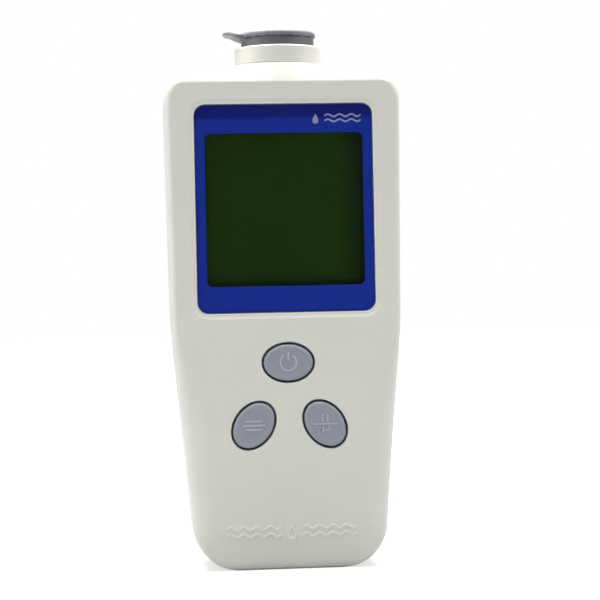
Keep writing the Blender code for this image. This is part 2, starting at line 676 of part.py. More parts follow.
def build_display():
    one_body("display_window", ((0.05, 0.08, 0.3), 0.05), slab, window_outline(0.0), WINDOW_FRONT_Y,
             WINDOW_BACK_Y)
    framed("window_print", window_outline(-THIN_FIT), view_outline(0.0), PRINT_FRONT_Y,
           PRINT_FRONT_Y + PRINT_THICK, ((0.012, 0.028, 0.24), 0.3))
    framed("window_tape", window_outline(-THIN_FIT), view_outline(LEDGE_MARGIN), TAPE_FRONT_Y,
           TAPE_FRONT_Y + TAPE_THICK, ((0.02, 0.02, 0.02), 0.8))
    low = VIEW_BOTTOM_Z - PANEL_MARGIN
    high = VIEW_TOP_Z + PANEL_MARGIN
    wide = VIEW_HALF_WIDTH + PANEL_MARGIN
    box_of = (((-wide, PANEL_FRONT_Y, low), (wide, PANEL_BACK_Y, high)))
    one_body("lcd_panel", ((0.02, 0.035, 0.012), 0.15), box, *box_of)
    framed("lcd_holder", rounded(wide + HOLDER_WALL, low - HOLDER_WALL, high + HOLDER_WALL, HOLDER_WALL),
           rounded(wide + FIT, low - FIT, high + FIT, FIT), FACE_INNER_Y + FIT, STACK_BACK_Y,
           ((0.8, 0.8, 0.78), 0.5))
    guide_low = low + STRIP_HEIGHT + GUIDE_MARGIN
    guide_high = high - STRIP_HEIGHT - GUIDE_MARGIN
    back_low = PANEL_BACK_Y + FIT
    one_body("light_guide", ((0.85, 0.87, 0.85), 0.2), box, (-STRIP_HALF_WIDTH, back_low, guide_low),
             (STRIP_HALF_WIDTH, STACK_BACK_Y, guide_high))
    for place, start in (("lower", low + FIT), ("upper", high - FIT - STRIP_HEIGHT)):
        one_body(f"contact_strip_{place}", ((0.75, 0.6, 0.62), 0.7), box,
                 (-STRIP_HALF_WIDTH, back_low, start),
                 (STRIP_HALF_WIDTH, STACK_BACK_Y, start + STRIP_HEIGHT))


# Board

def build_board():
    wing_low = VIEW_BOTTOM_Z - PANEL_MARGIN - HOLDER_WALL
    wing_high = VIEW_TOP_Z + PANEL_MARGIN
    right = [
        (BOARD_HALF_WIDTH, BOARD_BOTTOM_Z), (BOARD_HALF_WIDTH, wing_low),
        (BOARD_WING, wing_low + BOARD_CHAMFER), (BOARD_WING, wing_high - BOARD_CHAMFER),
        (BOARD_HALF_WIDTH, wing_high), (BOARD_HALF_WIDTH, BOARD_TOP_Z),
    ]
    outline = right + [(-x, z) for x, z in reversed(right)]
    back = BOARD_BACK_Y
    board = one_body("main_board", ((0.02, 0.16, 0.06), 0.4), slab, outline, BOARD_FRONT_Y, back)
    holes = bmesh.new()
    for x, z in BOARD_SCREWS:
        pin(holes, x, z, BOARD_SCREW_RADIUS + FIT, BOARD_FRONT_Y - CUT_PAST, back + CUT_PAST, SMALL_ROUND)
    boolean(board, finish("board_holes", holes), "DIFFERENCE")
    chips = (
        ("processor", 0.0, PROCESSOR_Z, PROCESSOR, (0.02, 0.02, 0.02)),
        ("battery_header", BATTERY_HEADER_X, BATTERY_HEADER_Z, HEADER, (0.8, 0.78, 0.7)),
        ("probe_header", PROBE_HEADER_X, PROBE_HEADER_Z, HEADER, (0.8, 0.78, 0.7)),
    )
    for name, x, z, (half_x, half_z, thick), colour in chips:
        one_body(name, (colour, 0.5), box, (x - half_x, back + FIT, z - half_z),
                 (x + half_x, back + FIT + thick, z + half_z))


# Keys

def build_keys():
    flange_y = FACE_INNER_Y + FIT
    flange_back = flange_y + KEY_FLANGE_THICK
    crown_y = FRONT_Y - KEY_PROUD
    plunger_back = STACK_BACK_Y - SWITCH_THICK + PLUNGER_LENGTH - KEY_TRAVEL - FIT
    plunger_front = plunger_back - PLUNGER_LENGTH
    for name, x, z, turn in KEYS:
        mesh = bmesh.new()
        rings = (
            (KEY_LONG - KEY_EDGE, KEY_SHORT - KEY_EDGE, crown_y),
            (KEY_LONG - KEY_EDGE / 3, KEY_SHORT - KEY_EDGE / 3, crown_y + KEY_EDGE / 5),
            (KEY_LONG, KEY_SHORT, crown_y + KEY_EDGE * 2 / 3),
            (KEY_LONG, KEY_SHORT, flange_y),
            (KEY_LONG + KEY_LIP, KEY_SHORT + KEY_LIP, flange_y),
            (KEY_LONG + KEY_LIP, KEY_SHORT + KEY_LIP, flange_back),
            (KEY_STEM, KEY_STEM, flange_back),
            (KEY_STEM, KEY_STEM, plunger_front - FIT),
        )
        loft(mesh, [
            [Vector((px, y, pz)) for px, pz in ellipse(x, z, a, b, turn, KEY_SEGMENTS)] for a, b, y in rings
        ])
        finish(f"{name}_key", mesh, ((0.26, 0.28, 0.32), 0.45))
        one_body(f"{name}_plunger", ((0.02, 0.02, 0.02), 0.5), pin, x, z, PLUNGER_RADIUS, plunger_front,
                 plunger_back)
        housing = one_body(f"{name}_switch", ((0.05, 0.05, 0.05), 0.5), box,
                           (x - SWITCH_HALF, STACK_BACK_Y - SWITCH_THICK, z - SWITCH_HALF),
                           (x + SWITCH_HALF, STACK_BACK_Y, z + SWITCH_HALF))
        well = one_body(f"{name}_well", None, pin, x, z, PLUNGER_RADIUS + FIT,
                        STACK_BACK_Y - SWITCH_THICK - CUT_PAST, STACK_BACK_Y + CUT_PAST)
        boolean(housing, well, "DIFFERENCE")
    reach = KEY_LONG + KEY_LIP + FIT + MAT_MARGIN
    low = min(key[2] for key in KEYS) - reach
    high = max(key[2] for key in KEYS) + KEY_SHORT + KEY_LIP + FIT + MAT_MARGIN
    mat = one_body("keypad_mat", ((0.2, 0.21, 0.22), 0.8), slab, rounded(MAT_HALF_WIDTH, low, high, MAT_CORNER),
                   flange_y, flange_back)
    holes = bmesh.new()
    for _, x, z, turn in KEYS:
        wide = KEY_LIP + FIT
        outline = ellipse(x, z, KEY_LONG + wide, KEY_SHORT + wide, turn, KEY_SEGMENTS)
        slab(holes, outline, flange_y - CUT_PAST, flange_back + CUT_PAST)
    boolean(mat, finish("mat_holes", holes), "DIFFERENCE")


# Battery bay

def build_cells():
    start = -CELL_PITCH * (CELL_COUNT - 1) / 2
    for i in range(CELL_COUNT):
        x = start + i * CELL_PITCH
        nub_up = i % 2 == 0
        low = CELL_LOW_Z + CONTACT_THICK + FIT
        spring_room = SPRING_LENGTH + FIT
        body_low = low + (spring_room if nub_up else CELL_NUB + FIT)
        body_high = body_low + CELL_LENGTH
        nub = (body_high, body_high + CELL_NUB) if nub_up else (body_low, body_low - CELL_NUB)
        profile = [
            (CELL_RADIUS - CELL_EDGE, body_low), (CELL_RADIUS, body_low + CELL_EDGE),
            (CELL_RADIUS, body_high - CELL_EDGE), (CELL_RADIUS - CELL_EDGE, body_high),
        ]
        if nub_up:
            profile += [(CELL_NUB_RADIUS, nub[0]), (CELL_NUB_RADIUS, nub[1])]
        else:
            profile = [(CELL_NUB_RADIUS, nub[1]), (CELL_NUB_RADIUS, nub[0])] + profile
        one_body(f"cell_{i + 1}", ((0.5, 0.38, 0.1), 0.35, 0.6), turned, profile, x, CELL_Y, ROUND)
    upper = CELL_LOW_Z + CELL_STACK - CONTACT_THICK
    groups = (("upper_left", (0,), True), ("upper_middle", (1, 2), True), ("upper_right", (3,), True),
              ("lower_left", (0, 1), False), ("lower_right", (2, 3), False))
    for place, cells, is_upper in groups:
        plate_low = upper if is_upper else CELL_LOW_Z
        left = start + cells[0] * CELL_PITCH - CELL_RADIUS + CONTACT_INSET
        right = start + cells[-1] * CELL_PITCH + CELL_RADIUS - CONTACT_INSET
        plate = one_body(f"contact_{place}", ((0.6, 0.6, 0.58), 0.3, 1.0), box,
                         (left, CELL_Y - CONTACT_HALF_DEPTH, plate_low),
                         (right, CELL_Y + CONTACT_HALF_DEPTH, plate_low + CONTACT_THICK))
        for cell in cells:
            nub_up = cell % 2 == 0
            if nub_up == is_upper:
                continue
            x = start + cell * CELL_PITCH
            if is_upper:
                steps = [(SPRING_TIP, plate_low - SPRING_LENGTH),
                         (SPRING_BASE, plate_low + CONTACT_THICK / 2)]
            else:
                steps = [(SPRING_BASE, plate_low + CONTACT_THICK / 2),
                         (SPRING_TIP, plate_low + CONTACT_THICK + SPRING_LENGTH)]
            spring = one_body(f"spring_{place}_{cell}", None, turned, steps, x, CELL_Y, ROUND)
            boolean(plate, spring, "UNION")


def build_door():
    door = one_body("battery_door", SHELL_FINISH, slab, door_outline(0.0),
                    DOOR_SEAT_Y + FIT, REAR_Y)
    cuts = bmesh.new()
    for x, z in DOOR_SCREW_PLACES:
        seat = REAR_Y - DOOR_SCREW_HEAD_THICK - FIT
        steps = (
            (DOOR_SCREW_RADIUS + FIT, DOOR_SEAT_Y - CUT_PAST), (DOOR_SCREW_RADIUS + FIT, seat),
            (DOOR_SCREW_HEAD + FIT, seat), (DOOR_SCREW_HEAD + FIT, REAR_Y + CUT_PAST),
        )
        loft(cuts, [[Vector((px, y, pz)) for px, pz in ellipse(x, z, r, r)] for r, y in steps])
    boolean(door, finish("door_screw_holes", cuts), "DIFFERENCE")
    groove = one_body("seal_groove", None, slab, bay_outline(SEAL_MARGIN + SEAL_WIDTH + FIT),
                      DOOR_SEAT_Y - CUT_PAST, DOOR_SEAT_Y + FIT + SEAL_THICK + FIT)
    island = one_body("seal_island", None, slab, bay_outline(SEAL_MARGIN - FIT), DOOR_SEAT_Y - 2 * CUT_PAST,
                      REAR_Y)
    boolean(groove, island, "DIFFERENCE")
    boolean(door, groove, "DIFFERENCE")
    framed("door_seal", bay_outline(SEAL_MARGIN + SEAL_WIDTH), bay_outline(SEAL_MARGIN), DOOR_SEAT_Y + FIT,
           DOOR_SEAT_Y + FIT + SEAL_THICK, ((0.03, 0.03, 0.03), 0.8))


# Probe port

def build_port():
    flange_top = BODY_HEIGHT - SEAT_STEP - WALL - 2 * O_RING_WIRE - 2 * FIT
    flange_low = flange_top - NECK_FLANGE_THICK
    top = BODY_HEIGHT + COLLAR_HEIGHT
    under = BODY_HEIGHT + FIT
    profile = [
        (NECK_BORE, NECK_BOTTOM_Z), (NECK_RADIUS, NECK_BOTTOM_Z), (NECK_RADIUS, flange_low),
        (NECK_FLANGE_RADIUS, flange_low), (NECK_FLANGE_RADIUS, flange_top), (NECK_RADIUS, flange_top),
        (NECK_RADIUS, under), (COLLAR_RADIUS, under), (COLLAR_RADIUS, top - COLLAR_EDGE),
        (COLLAR_RADIUS - COLLAR_EDGE, top), (MOUTH_RADIUS + COLLAR_EDGE / 2, top),
        (MOUTH_RADIUS, top - COLLAR_EDGE / 2), (MOUTH_RADIUS, MOUTH_FLOOR_Z), (NECK_BORE, MOUTH_FLOOR_Z),
    ]
    one_body("connector_collar", ((0.60, 0.60, 0.56), 0.42), hollow_turned, profile, 0.0, PORT_Y)
    ring_radius = NECK_RADIUS + FIT + O_RING_WIRE
    centre_z = flange_top + FIT + O_RING_WIRE
    turns = [k * pi / 3 for k in range(6)]
    wire = [(ring_radius + O_RING_WIRE * cos(t), centre_z + O_RING_WIRE * sin(t)) for t in turns]
    one_body("neck_o_ring", ((0.02, 0.02, 0.02), 0.7), hollow_turned, wire, 0.0, PORT_Y, 24)
    deck = NECK_BOTTOM_Z + FIT + INSULATOR_THICK
    one_body("socket_insulator", ((0.02, 0.02, 0.02), 0.5), turned,
             [(NECK_BORE - FIT, NECK_BOTTOM_Z + FIT), (NECK_BORE - FIT, deck)], 0.0, PORT_Y, 32)
    inner = SOCKET_SHELL_RADIUS - SOCKET_SHELL_WALL
    low = deck + FIT
    one_body("socket_shell", ((0.6, 0.6, 0.6), 0.25, 1.0), hollow_turned,
             [(inner, low), (SOCKET_SHELL_RADIUS, low), (SOCKET_SHELL_RADIUS, low + SOCKET_SHELL_HEIGHT),
              (inner, low + SOCKET_SHELL_HEIGHT)], 0.0, PORT_Y, 32)
    for i in range(PIN_COUNT):
        turn = 2 * pi * i / PIN_COUNT + pi / 2
        x = PIN_CIRCLE * cos(turn)
        y = PORT_Y + PIN_CIRCLE * sin(turn)
        one_body(f"socket_pin_{i + 1}", ((0.75, 0.6, 0.25), 0.25, 1.0), turned,
                 [(PIN_RADIUS, low), (PIN_RADIUS, low + PIN_HEIGHT * 0.85),
                  (PIN_RADIUS * 0.5, low + PIN_HEIGHT)],
                 x, y, SMALL_ROUND)


def build_cap():
    top = BODY_HEIGHT + COLLAR_HEIGHT
    plug_low = MOUTH_FLOOR_Z + FIT
    flange_low = top + PLUG_ABOVE
    flange_top = flange_low + CAP_FLANGE_THICK
    profile = [
        (PLUG_RADIUS - CAP_EDGE, plug_low), (PLUG_RADIUS, plug_low + CAP_EDGE),
        (PLUG_RADIUS, flange_low - CAP_EDGE / 2), (PLUG_RADIUS - CAP_EDGE / 3, flange_low),
        (CAP_FLANGE_RADIUS, flange_low + CAP_EDGE / 4),
        (CAP_FLANGE_RADIUS, flange_top - CAP_EDGE), (CAP_FLANGE_RADIUS - CAP_EDGE, flange_top),
        (CAP_FLANGE_RADIUS * 0.5, flange_top + CAP_CROWN * 0.8), (CAP_EDGE, flange_top + CAP_CROWN),
    ]
    cap = one_body("port_cap", ((0.10, 0.10, 0.11), 0.6), turned, profile, 0.0, PORT_Y)
    tab = bmesh.new()
    root = CAP_FLANGE_RADIUS - TAB_ROOT
    tip_top = flange_top + TAB_LIFT
    tip_low = tip_top - TAB_TIP_THICK
    root_low = flange_low - TAB_WEB
    stations = (
        (root, 1.0, root_low, flange_top),
        (CAP_FLANGE_RADIUS, 1.0, root_low, flange_top - TAB_DIP / 2),
        (root + (TAB_REACH - root) * 0.55, 0.97, (root_low + tip_low) / 2, flange_top - TAB_DIP),
        (root + (TAB_REACH - root) * 0.80, 0.86, tip_low - TAB_DIP / 2, flange_top - TAB_LIFT),
        (root + (TAB_REACH - root) * 0.94, 0.62, tip_low, tip_top),
        (TAB_REACH, 0.30, tip_low + TAB_TIP_THICK / 6, tip_top),
    )
    rings = []
    for reach, share, low, high in stations:
        half = TAB_HALF_WIDTH * share
        soft = (high - low) * 0.3
        rings.append([Vector((-reach, PORT_Y + y, z)) for y, z in (
            (-half, low + soft), (-half + soft, low), (half - soft, low), (half, low + soft),
            (half, high - soft), (half - soft, high), (-half + soft, high), (-half, high - soft))])
    loft(tab, rings)
    boolean(cap, finish("cap_tab", tab), "UNION")


# Internal leads

def lead(name, colour, points):
    """A soldered wire as a round tube through a few chosen points."""
    curve = bpy.data.curves.new(name, "CURVE")
    curve.dimensions = "3D"
    curve.bevel_depth = LEAD_RADIUS
    curve.bevel_resolution = 1
    curve.use_fill_caps = True
    samples = smooth_path([Vector(point) for point in points])
    spline = curve.splines.new("POLY")
    spline.points.add(len(samples) - 1)
    for place, sample in zip(spline.points, samples):
        place.co = (*sample, 1.0)
    made = bpy.data.objects.new(name, curve)
    bpy.context.scene.collection.objects.link(made)
    curve.materials.append(material(name, colour, 0.5))


def smooth_path(points, steps=3):
    """Points on a smooth curve through the route's own points."""
    ends = [points[0] * 2 - points[1]] + points + [points[-1] * 2 - points[-2]]
    samples = []
    for a, b, c, d in zip(ends, ends[1:], ends[2:], ends[3:]):
        for step in range(steps):
            t = step / steps
            samples.append(0.5 * (2 * b + (c - a) * t + (2 * a - 5 * b + 4 * c - d) * t * t
                                  + (3 * b - a - 3 * c + d) * t ** 3))
    samples.append(points[-1])
    return samples


def build_leads():
    header_back = BOARD_FRONT_Y + BOARD_THICK + FIT + HEADER[2] + FIT
    block_low = BAY_CENTRE_Z - DOOR_HALF_HEIGHT
    exit_y = BLOCK_FRONT_Y - FIT
    exit_z = block_low + LEAD_EXIT_RISE
    pair = (("red_lead", (0.5, 0.02, 0.02), -0.0015), ("black_lead", (0.02, 0.02, 0.02), 0.0015))
    for name, colour, offset in pair:
        x = BATTERY_HEADER_X + offset
        lead(name, colour, (
            (x, header_back, BATTERY_HEADER_Z), (x, header_back + 0.004, BATTERY_HEADER_Z),
            (x + 3 * offset, header_back + 0.006, BATTERY_HEADER_Z + 0.006),
            (x + 3 * offset, exit_y - LEAD_RUN_IN, exit_z), (x + 3 * offset, exit_y, exit_z)))
    lead("probe_lead", (0.08, 0.08, 0.08), (
        (0.0, PORT_Y, NECK_BOTTOM_Z + FIT - 0.0006), (0.0, PORT_Y, NECK_BOTTOM_Z - 0.004),
        (PROBE_HEADER_X * 0.6, PORT_Y - 0.0005, PROBE_HEADER_Z + 0.003),
        (PROBE_HEADER_X, header_back + 0.003, PROBE_HEADER_Z + 0.0005),
        (PROBE_HEADER_X, header_back, PROBE_HEADER_Z)))


def main():
    clear_scene()
    groove = cord_loop("cord_groove", CORD_INSET - GROOVE_FIT, CORD_INSET + CORD_WIDTH + GROOVE_FIT,
                       CORD_DEPTH + GROOVE_FIT, None)
    cord_loop("shell_gasket", CORD_INSET, CORD_INSET + CORD_WIDTH, CORD_DEPTH, ((0.03, 0.03, 0.03), 0.8))
    build_front_shell(groove)
    build_rear_shell(groove)
    build_fasteners()
    build_display()
    build_board()
    build_keys()
    build_cells()
    build_door()
    build_port()
    build_cap()
    build_leads()


main()
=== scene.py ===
"""Fine shapes and finishes of a handheld dissolved-oxygen meter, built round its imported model.

Units are metres. +Z runs up the housing, the display faces -Y and the battery door faces +Y.
"""
import logging
import random
import sys
from dataclasses import dataclass, field
from enum import Enum
from math import atan2, cos, pi, radians, sin, sqrt, tau
from typing import Callable, Sequence, Union

import bmesh
import bpy
from mathutils import Matrix, Vector


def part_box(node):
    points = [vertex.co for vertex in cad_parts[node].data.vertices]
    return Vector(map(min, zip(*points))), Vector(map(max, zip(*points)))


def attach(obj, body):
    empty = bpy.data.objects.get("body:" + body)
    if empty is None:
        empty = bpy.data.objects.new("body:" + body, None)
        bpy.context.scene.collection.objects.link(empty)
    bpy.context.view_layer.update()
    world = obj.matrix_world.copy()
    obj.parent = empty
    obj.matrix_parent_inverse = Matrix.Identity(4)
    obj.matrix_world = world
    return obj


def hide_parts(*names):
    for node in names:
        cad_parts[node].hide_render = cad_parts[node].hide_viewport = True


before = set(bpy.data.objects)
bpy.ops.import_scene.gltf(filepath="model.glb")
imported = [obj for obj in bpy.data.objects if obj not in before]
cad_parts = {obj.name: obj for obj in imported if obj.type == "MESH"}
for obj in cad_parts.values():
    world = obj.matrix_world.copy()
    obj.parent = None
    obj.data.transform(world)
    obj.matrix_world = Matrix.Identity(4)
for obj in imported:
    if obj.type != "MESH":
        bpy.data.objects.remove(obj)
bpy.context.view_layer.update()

LOG = logging.getLogger("dissolved_oxygen_meter")

Point = tuple[float, float]
Colour = tuple[float, float, float]
Box = tuple[Vector, Vector]
Triple = tuple[float, float, float]
Object = bpy.types.Object
Node = bpy.types.Node
Socket = bpy.types.NodeSocket
InputValue = Union[float, int, str, bool, Sequence[float], Socket, bpy.types.ID, None]

FIT = 0.0003             # gap between pieces that seat on or in each other
THIN_FIT = 0.00015       # gap inside the thin display stack
CUT_PAST = 0.001         # how far a cutter runs past the face it opens
FAR = 0.1                # further out than the housing in any direction but up
SMOOTH_ANGLE = radians(32)
SOFT_ANGLE = radians(40)
QUARTER = pi / 2
SEED = 11


class Body(str, Enum):
    """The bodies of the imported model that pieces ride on."""

    HOUSING = "housing"
    POWER = "power_button"
    MODE = "mode_button"
    HOLD = "hold_button"
    CAP = "cap"
    DOOR = "door"


class Surface(Enum):
    """Kinds of fine texture that a finish can carry."""

    SPARKED = "spark_eroded"
    MATT = "matt_rubber"
    BRUSHED = "drawn_metal"
    POLISHED = "polished"
    WOVEN = "glass_weave"


class Operation(str, Enum):
    """How two solids are combined."""

    CUT = "DIFFERENCE"
    ADD = "UNION"
    KEEP = "INTERSECT"


def node_box(name: str) -> Box:
    """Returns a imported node's lowest and highest corners.

    Args:
        name: The node's name.

    Returns:
        The two corners as vectors.
    """
    low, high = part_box(name)
    return Vector(low), Vector(high)


def centre_of(name: str) -> Triple:
    """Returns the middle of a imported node's box."""
    low, high = node_box(name)
    return (low.x + high.x) / 2, (low.y + high.y) / 2, (low.z + high.z) / 2


def numbered(name: str, count: int) -> list[str]:
    """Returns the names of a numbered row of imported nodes."""
    return [f"{name}_{i}" for i in range(1, count + 1)]


# Node trees

class Tree:
    """Adds nodes to a node tree and joins them."""

    def __init__(self, tree: bpy.types.NodeTree) -> None:
        """Keeps the tree that nodes go into."""
        self.tree = tree

    def add(self, kind: str, inputs: dict[Union[str, int], InputValue] | None = None,
            **settings: InputValue) -> Node:
        """Adds one node.

        Args:
            kind: The node's type name.
            inputs: Values, or sockets to link from, by input name or number.
            settings: The node's own properties.

        Returns:
            The new node.
        """
        node = self.tree.nodes.new(kind)
        for key, value in settings.items():
            setattr(node, key, value)
        for key, value in (inputs or {}).items():
            socket = node.inputs[key]
            if isinstance(value, Socket):
                self.tree.links.new(value, socket)
            else:
                socket.default_value = value
        return node

    def join(self, start: Socket, end: Socket) -> None:
        """Links one socket to another."""
        self.tree.links.new(start, end)

    def maths(self, operation: str, first: InputValue, second: InputValue = 0.0,
              clamp: bool = False) -> Socket:
        """Adds a Math node and returns its result."""
        made = self.add("ShaderNodeMath", {0: first, 1: second}, operation=operation, use_clamp=clamp)
        return made.outputs[0]

    def times(self, first: InputValue, second: InputValue, clamp: bool = False) -> Socket:
        """Multiplies two values and returns the result."""
        return self.maths("MULTIPLY", first, second, clamp)

    def vector_maths(self, operation: str, first: InputValue, second: InputValue = (0.0, 0.0, 0.0)) -> Socket:
        """Adds a Vector Math node with one number as its result and returns that."""
        return self.add("ShaderNodeVectorMath", {0: first, 1: second}, operation=operation).outputs["Value"]

    def noise(self, place: Socket, scale: InputValue, detail: float = 2.0, distortion: float = 0.0) -> Socket:
        """Adds a noise texture and returns its value."""
        inputs = {"Vector": place, "Scale": scale, "Detail": detail, "Distortion": distortion}
        return self.add("ShaderNodeTexNoise", inputs).outputs["Fac"]

    def height(self, place: Socket) -> Socket:
        """Returns a place's Z."""
        return self.add("ShaderNodeSeparateXYZ", {0: place}).outputs["Z"]

    def upright(self, values: dict[int, InputValue]) -> Socket:
        """Returns a vector made of the values given for its axes, 0 elsewhere."""
        return self.add("ShaderNodeCombineXYZ", values).outputs[0]

    def between(self, value: InputValue, low: float, high: float, low_to: InputValue = 0.0,
                high_to: InputValue = 1.0) -> Socket:
        """Adds a smooth Map Range node and returns its result."""
        inputs = {"Value": value, "From Min": low, "From Max": high, "To Min": low_to, "To Max": high_to}
        return self.add("ShaderNodeMapRange", inputs, interpolation_type="SMOOTHSTEP").outputs["Result"]

    def blend(self, share: InputValue, first: InputValue, second: InputValue) -> Socket:
        """Mixes two colours by a share and returns the result."""
        values = {0: share, 6: opaque(first), 7: opaque(second)}
        return self.add("ShaderNodeMix", values, data_type="RGBA").outputs[2]


def opaque(colour: InputValue) -> InputValue:
    """Gives a plain colour its fourth value, and leaves a socket as it is."""
    if isinstance(colour, tuple) and len(colour) == 3:
        return (*colour, 1.0)
    return colour


def new_group(name: str, kind: str, inputs: dict[str, tuple[str, InputValue]],
              outputs: dict[str, str]) -> tuple[Tree, Node, Node]:
    """Makes an empty node group with named sockets.

    Args:
        name: The group's name.
        kind: "ShaderNodeTree" or "GeometryNodeTree".
        inputs: Socket type and starting value by name.
        outputs: Socket type by name.

    Returns:
        The tree, its input node and its output node.
    """
    group = bpy.data.node_groups.new(name, kind)
    for label, (socket_type, value) in inputs.items():
        socket = group.interface.new_socket(name=label, in_out="INPUT", socket_type=socket_type)
        if value is not None:
            socket.default_value = value
    for label, socket_type in outputs.items():
        group.interface.new_socket(name=label, in_out="OUTPUT", socket_type=socket_type)
    tree = Tree(group)
    return tree, tree.add("NodeGroupInput"), tree.add("NodeGroupOutput")


FLOAT = "NodeSocketFloat"
VECTOR = "NodeSocketVector"
GEOMETRY = "NodeSocketGeometry"


class ShaderGroups:
    """Shader node groups that the finishes share."""

    BRUSHED_STRETCH = (1.0, 1.0, 0.06)
    BROAD_SPREAD = 28.0
    NOISE_SHARE = 0.6
    PIT_SHARE = 0.5
    WEAVE_SPREAD = 3.0
    WEAVE_DISTORTION = 0.3
    FINE_TONE = 0.35
    BROAD_TONE = 0.65
    EDGE_COSINES = (0.995, 0.85)
    WEAR_SCALE = 420.0
    WEAR_RANGE = (0.35, 0.65)
    SPECK_SCALE = 900.0
    SPECK_RANGE = (0.45, 0.7)
    DRIFT_SCALE = 60.0
    DRIFT_RANGE = (0.35, 0.7)
    LYING_RANGE = (-0.2, 0.9, 0.25, 1.0)
    SMEAR_SCALE = 75.0
    SMEAR_RANGE = (0.3, 0.7, -1.0, 1.0)

    def __init__(self) -> None:
        """Builds every group once."""
        self.grain = {surface: self.grain_group(surface) for surface in Surface}
        self.wear = self.wear_group()
        self.dust = self.dust_group()
        self.handling = self.handling_group()

    @staticmethod
    def start(name: str, inputs: dict[str, float], outputs: Sequence[str]) -> tuple[Tree, Node, Node]:
        """Starts a shader group that takes a vector and some numbers, and gives numbers."""
        sockets = {"Vector": (VECTOR, None)} | {label: (FLOAT, value) for label, value in inputs.items()}
        return new_group(name, "ShaderNodeTree", sockets, {label: FLOAT for label in outputs})

    def grain_group(self, surface: Surface) -> bpy.types.NodeTree:
        """Builds the group for one kind of fine texture, with a height and a tone."""
        tree, given, made = self.start(surface.value, {"Size": 0.0004}, ("Height", "Tone"))
        scale = tree.maths("DIVIDE", 1.0, given.outputs["Size"])
        place = given.outputs["Vector"]
        if surface is Surface.BRUSHED:
            place = tree.add("ShaderNodeMapping", {"Vector": place, "Scale": self.BRUSHED_STRETCH}).outputs[0]
        height = tree.noise(place, scale, 3.0)
        broad = tree.noise(place, tree.maths("DIVIDE", scale, self.BROAD_SPREAD))
        if surface is Surface.SPARKED:
            pits = tree.add("ShaderNodeTexVoronoi", {"Vector": place, "Scale": scale}, feature="SMOOTH_F1")
            height = tree.maths("ADD", tree.times(height, self.NOISE_SHARE),
                                tree.times(pits.outputs["Distance"], self.PIT_SHARE))
        if surface is Surface.WOVEN:
            inputs = {"Vector": place, "Scale": tree.maths("DIVIDE", scale, self.WEAVE_SPREAD),
                      "Distortion": self.WEAVE_DISTORTION}
            waves = [tree.add("ShaderNodeTexWave", inputs, bands_direction=axis).outputs["Fac"]
                     for axis in ("X", "Z")]
            height = tree.maths("MAXIMUM", *waves)
        tree.join(height, made.inputs["Height"])
        tone = tree.maths("ADD", tree.times(height, self.FINE_TONE), tree.times(broad, self.BROAD_TONE))
        tree.join(tone, made.inputs["Tone"])
        return tree.tree

    def wear_group(self) -> bpy.types.NodeTree:
        """Builds the group that finds convex edges, for rubbed wear and for painted edge highlights."""
        tree, given, made = self.start("edge_wear", {"Radius": 0.0004, "Amount": 0.3}, ("Mask",))
        round_normal = tree.add("ShaderNodeBevel", {"Radius": given.outputs["Radius"]}, samples=3).outputs[0]
        normal = tree.add("ShaderNodeNewGeometry").outputs["Normal"]
        edge = tree.between(tree.vector_maths("DOT_PRODUCT", round_normal, normal), *self.EDGE_COSINES)
        broken = tree.between(tree.noise(given.outputs["Vector"], self.WEAR_SCALE), *self.WEAR_RANGE)
        tree.join(tree.times(tree.times(edge, broken), given.outputs["Amount"], True), made.inputs["Mask"])
        return tree.tree

    def dust_group(self) -> bpy.types.NodeTree:
        """Builds the group that lays a little dust on faces that look up."""
        tree, given, made = self.start("settled_dust", {"Amount": 0.1}, ("Mask",))
        up = tree.height(tree.add("ShaderNodeNewGeometry").outputs["Normal"])
        specks = tree.noise(given.outputs["Vector"], self.SPECK_SCALE, 4.0)
        drift = tree.noise(given.outputs["Vector"], self.DRIFT_SCALE)
        patches = tree.times(tree.between(specks, *self.SPECK_RANGE), tree.between(drift, *self.DRIFT_RANGE))
        lying = tree.between(up, *self.LYING_RANGE)
        tree.join(tree.times(tree.times(patches, lying), given.outputs["Amount"], True), made.inputs["Mask"])
        return tree.tree

    def handling_group(self) -> bpy.types.NodeTree:
        """Builds the group that varies the gloss where a hand has been."""
        tree, given, made = self.start("handling", {"Roughness": 0.4, "Spread": 0.06}, ("Roughness",))
        smears = tree.noise(given.outputs["Vector"], self.SMEAR_SCALE, 3.0, 0.8)
        change = tree.times(tree.between(smears, *self.SMEAR_RANGE), given.outputs["Spread"])
        tree.join(tree.maths("ADD", given.outputs["Roughness"], change, True), made.inputs["Roughness"])
        return tree.tree


# Finishes

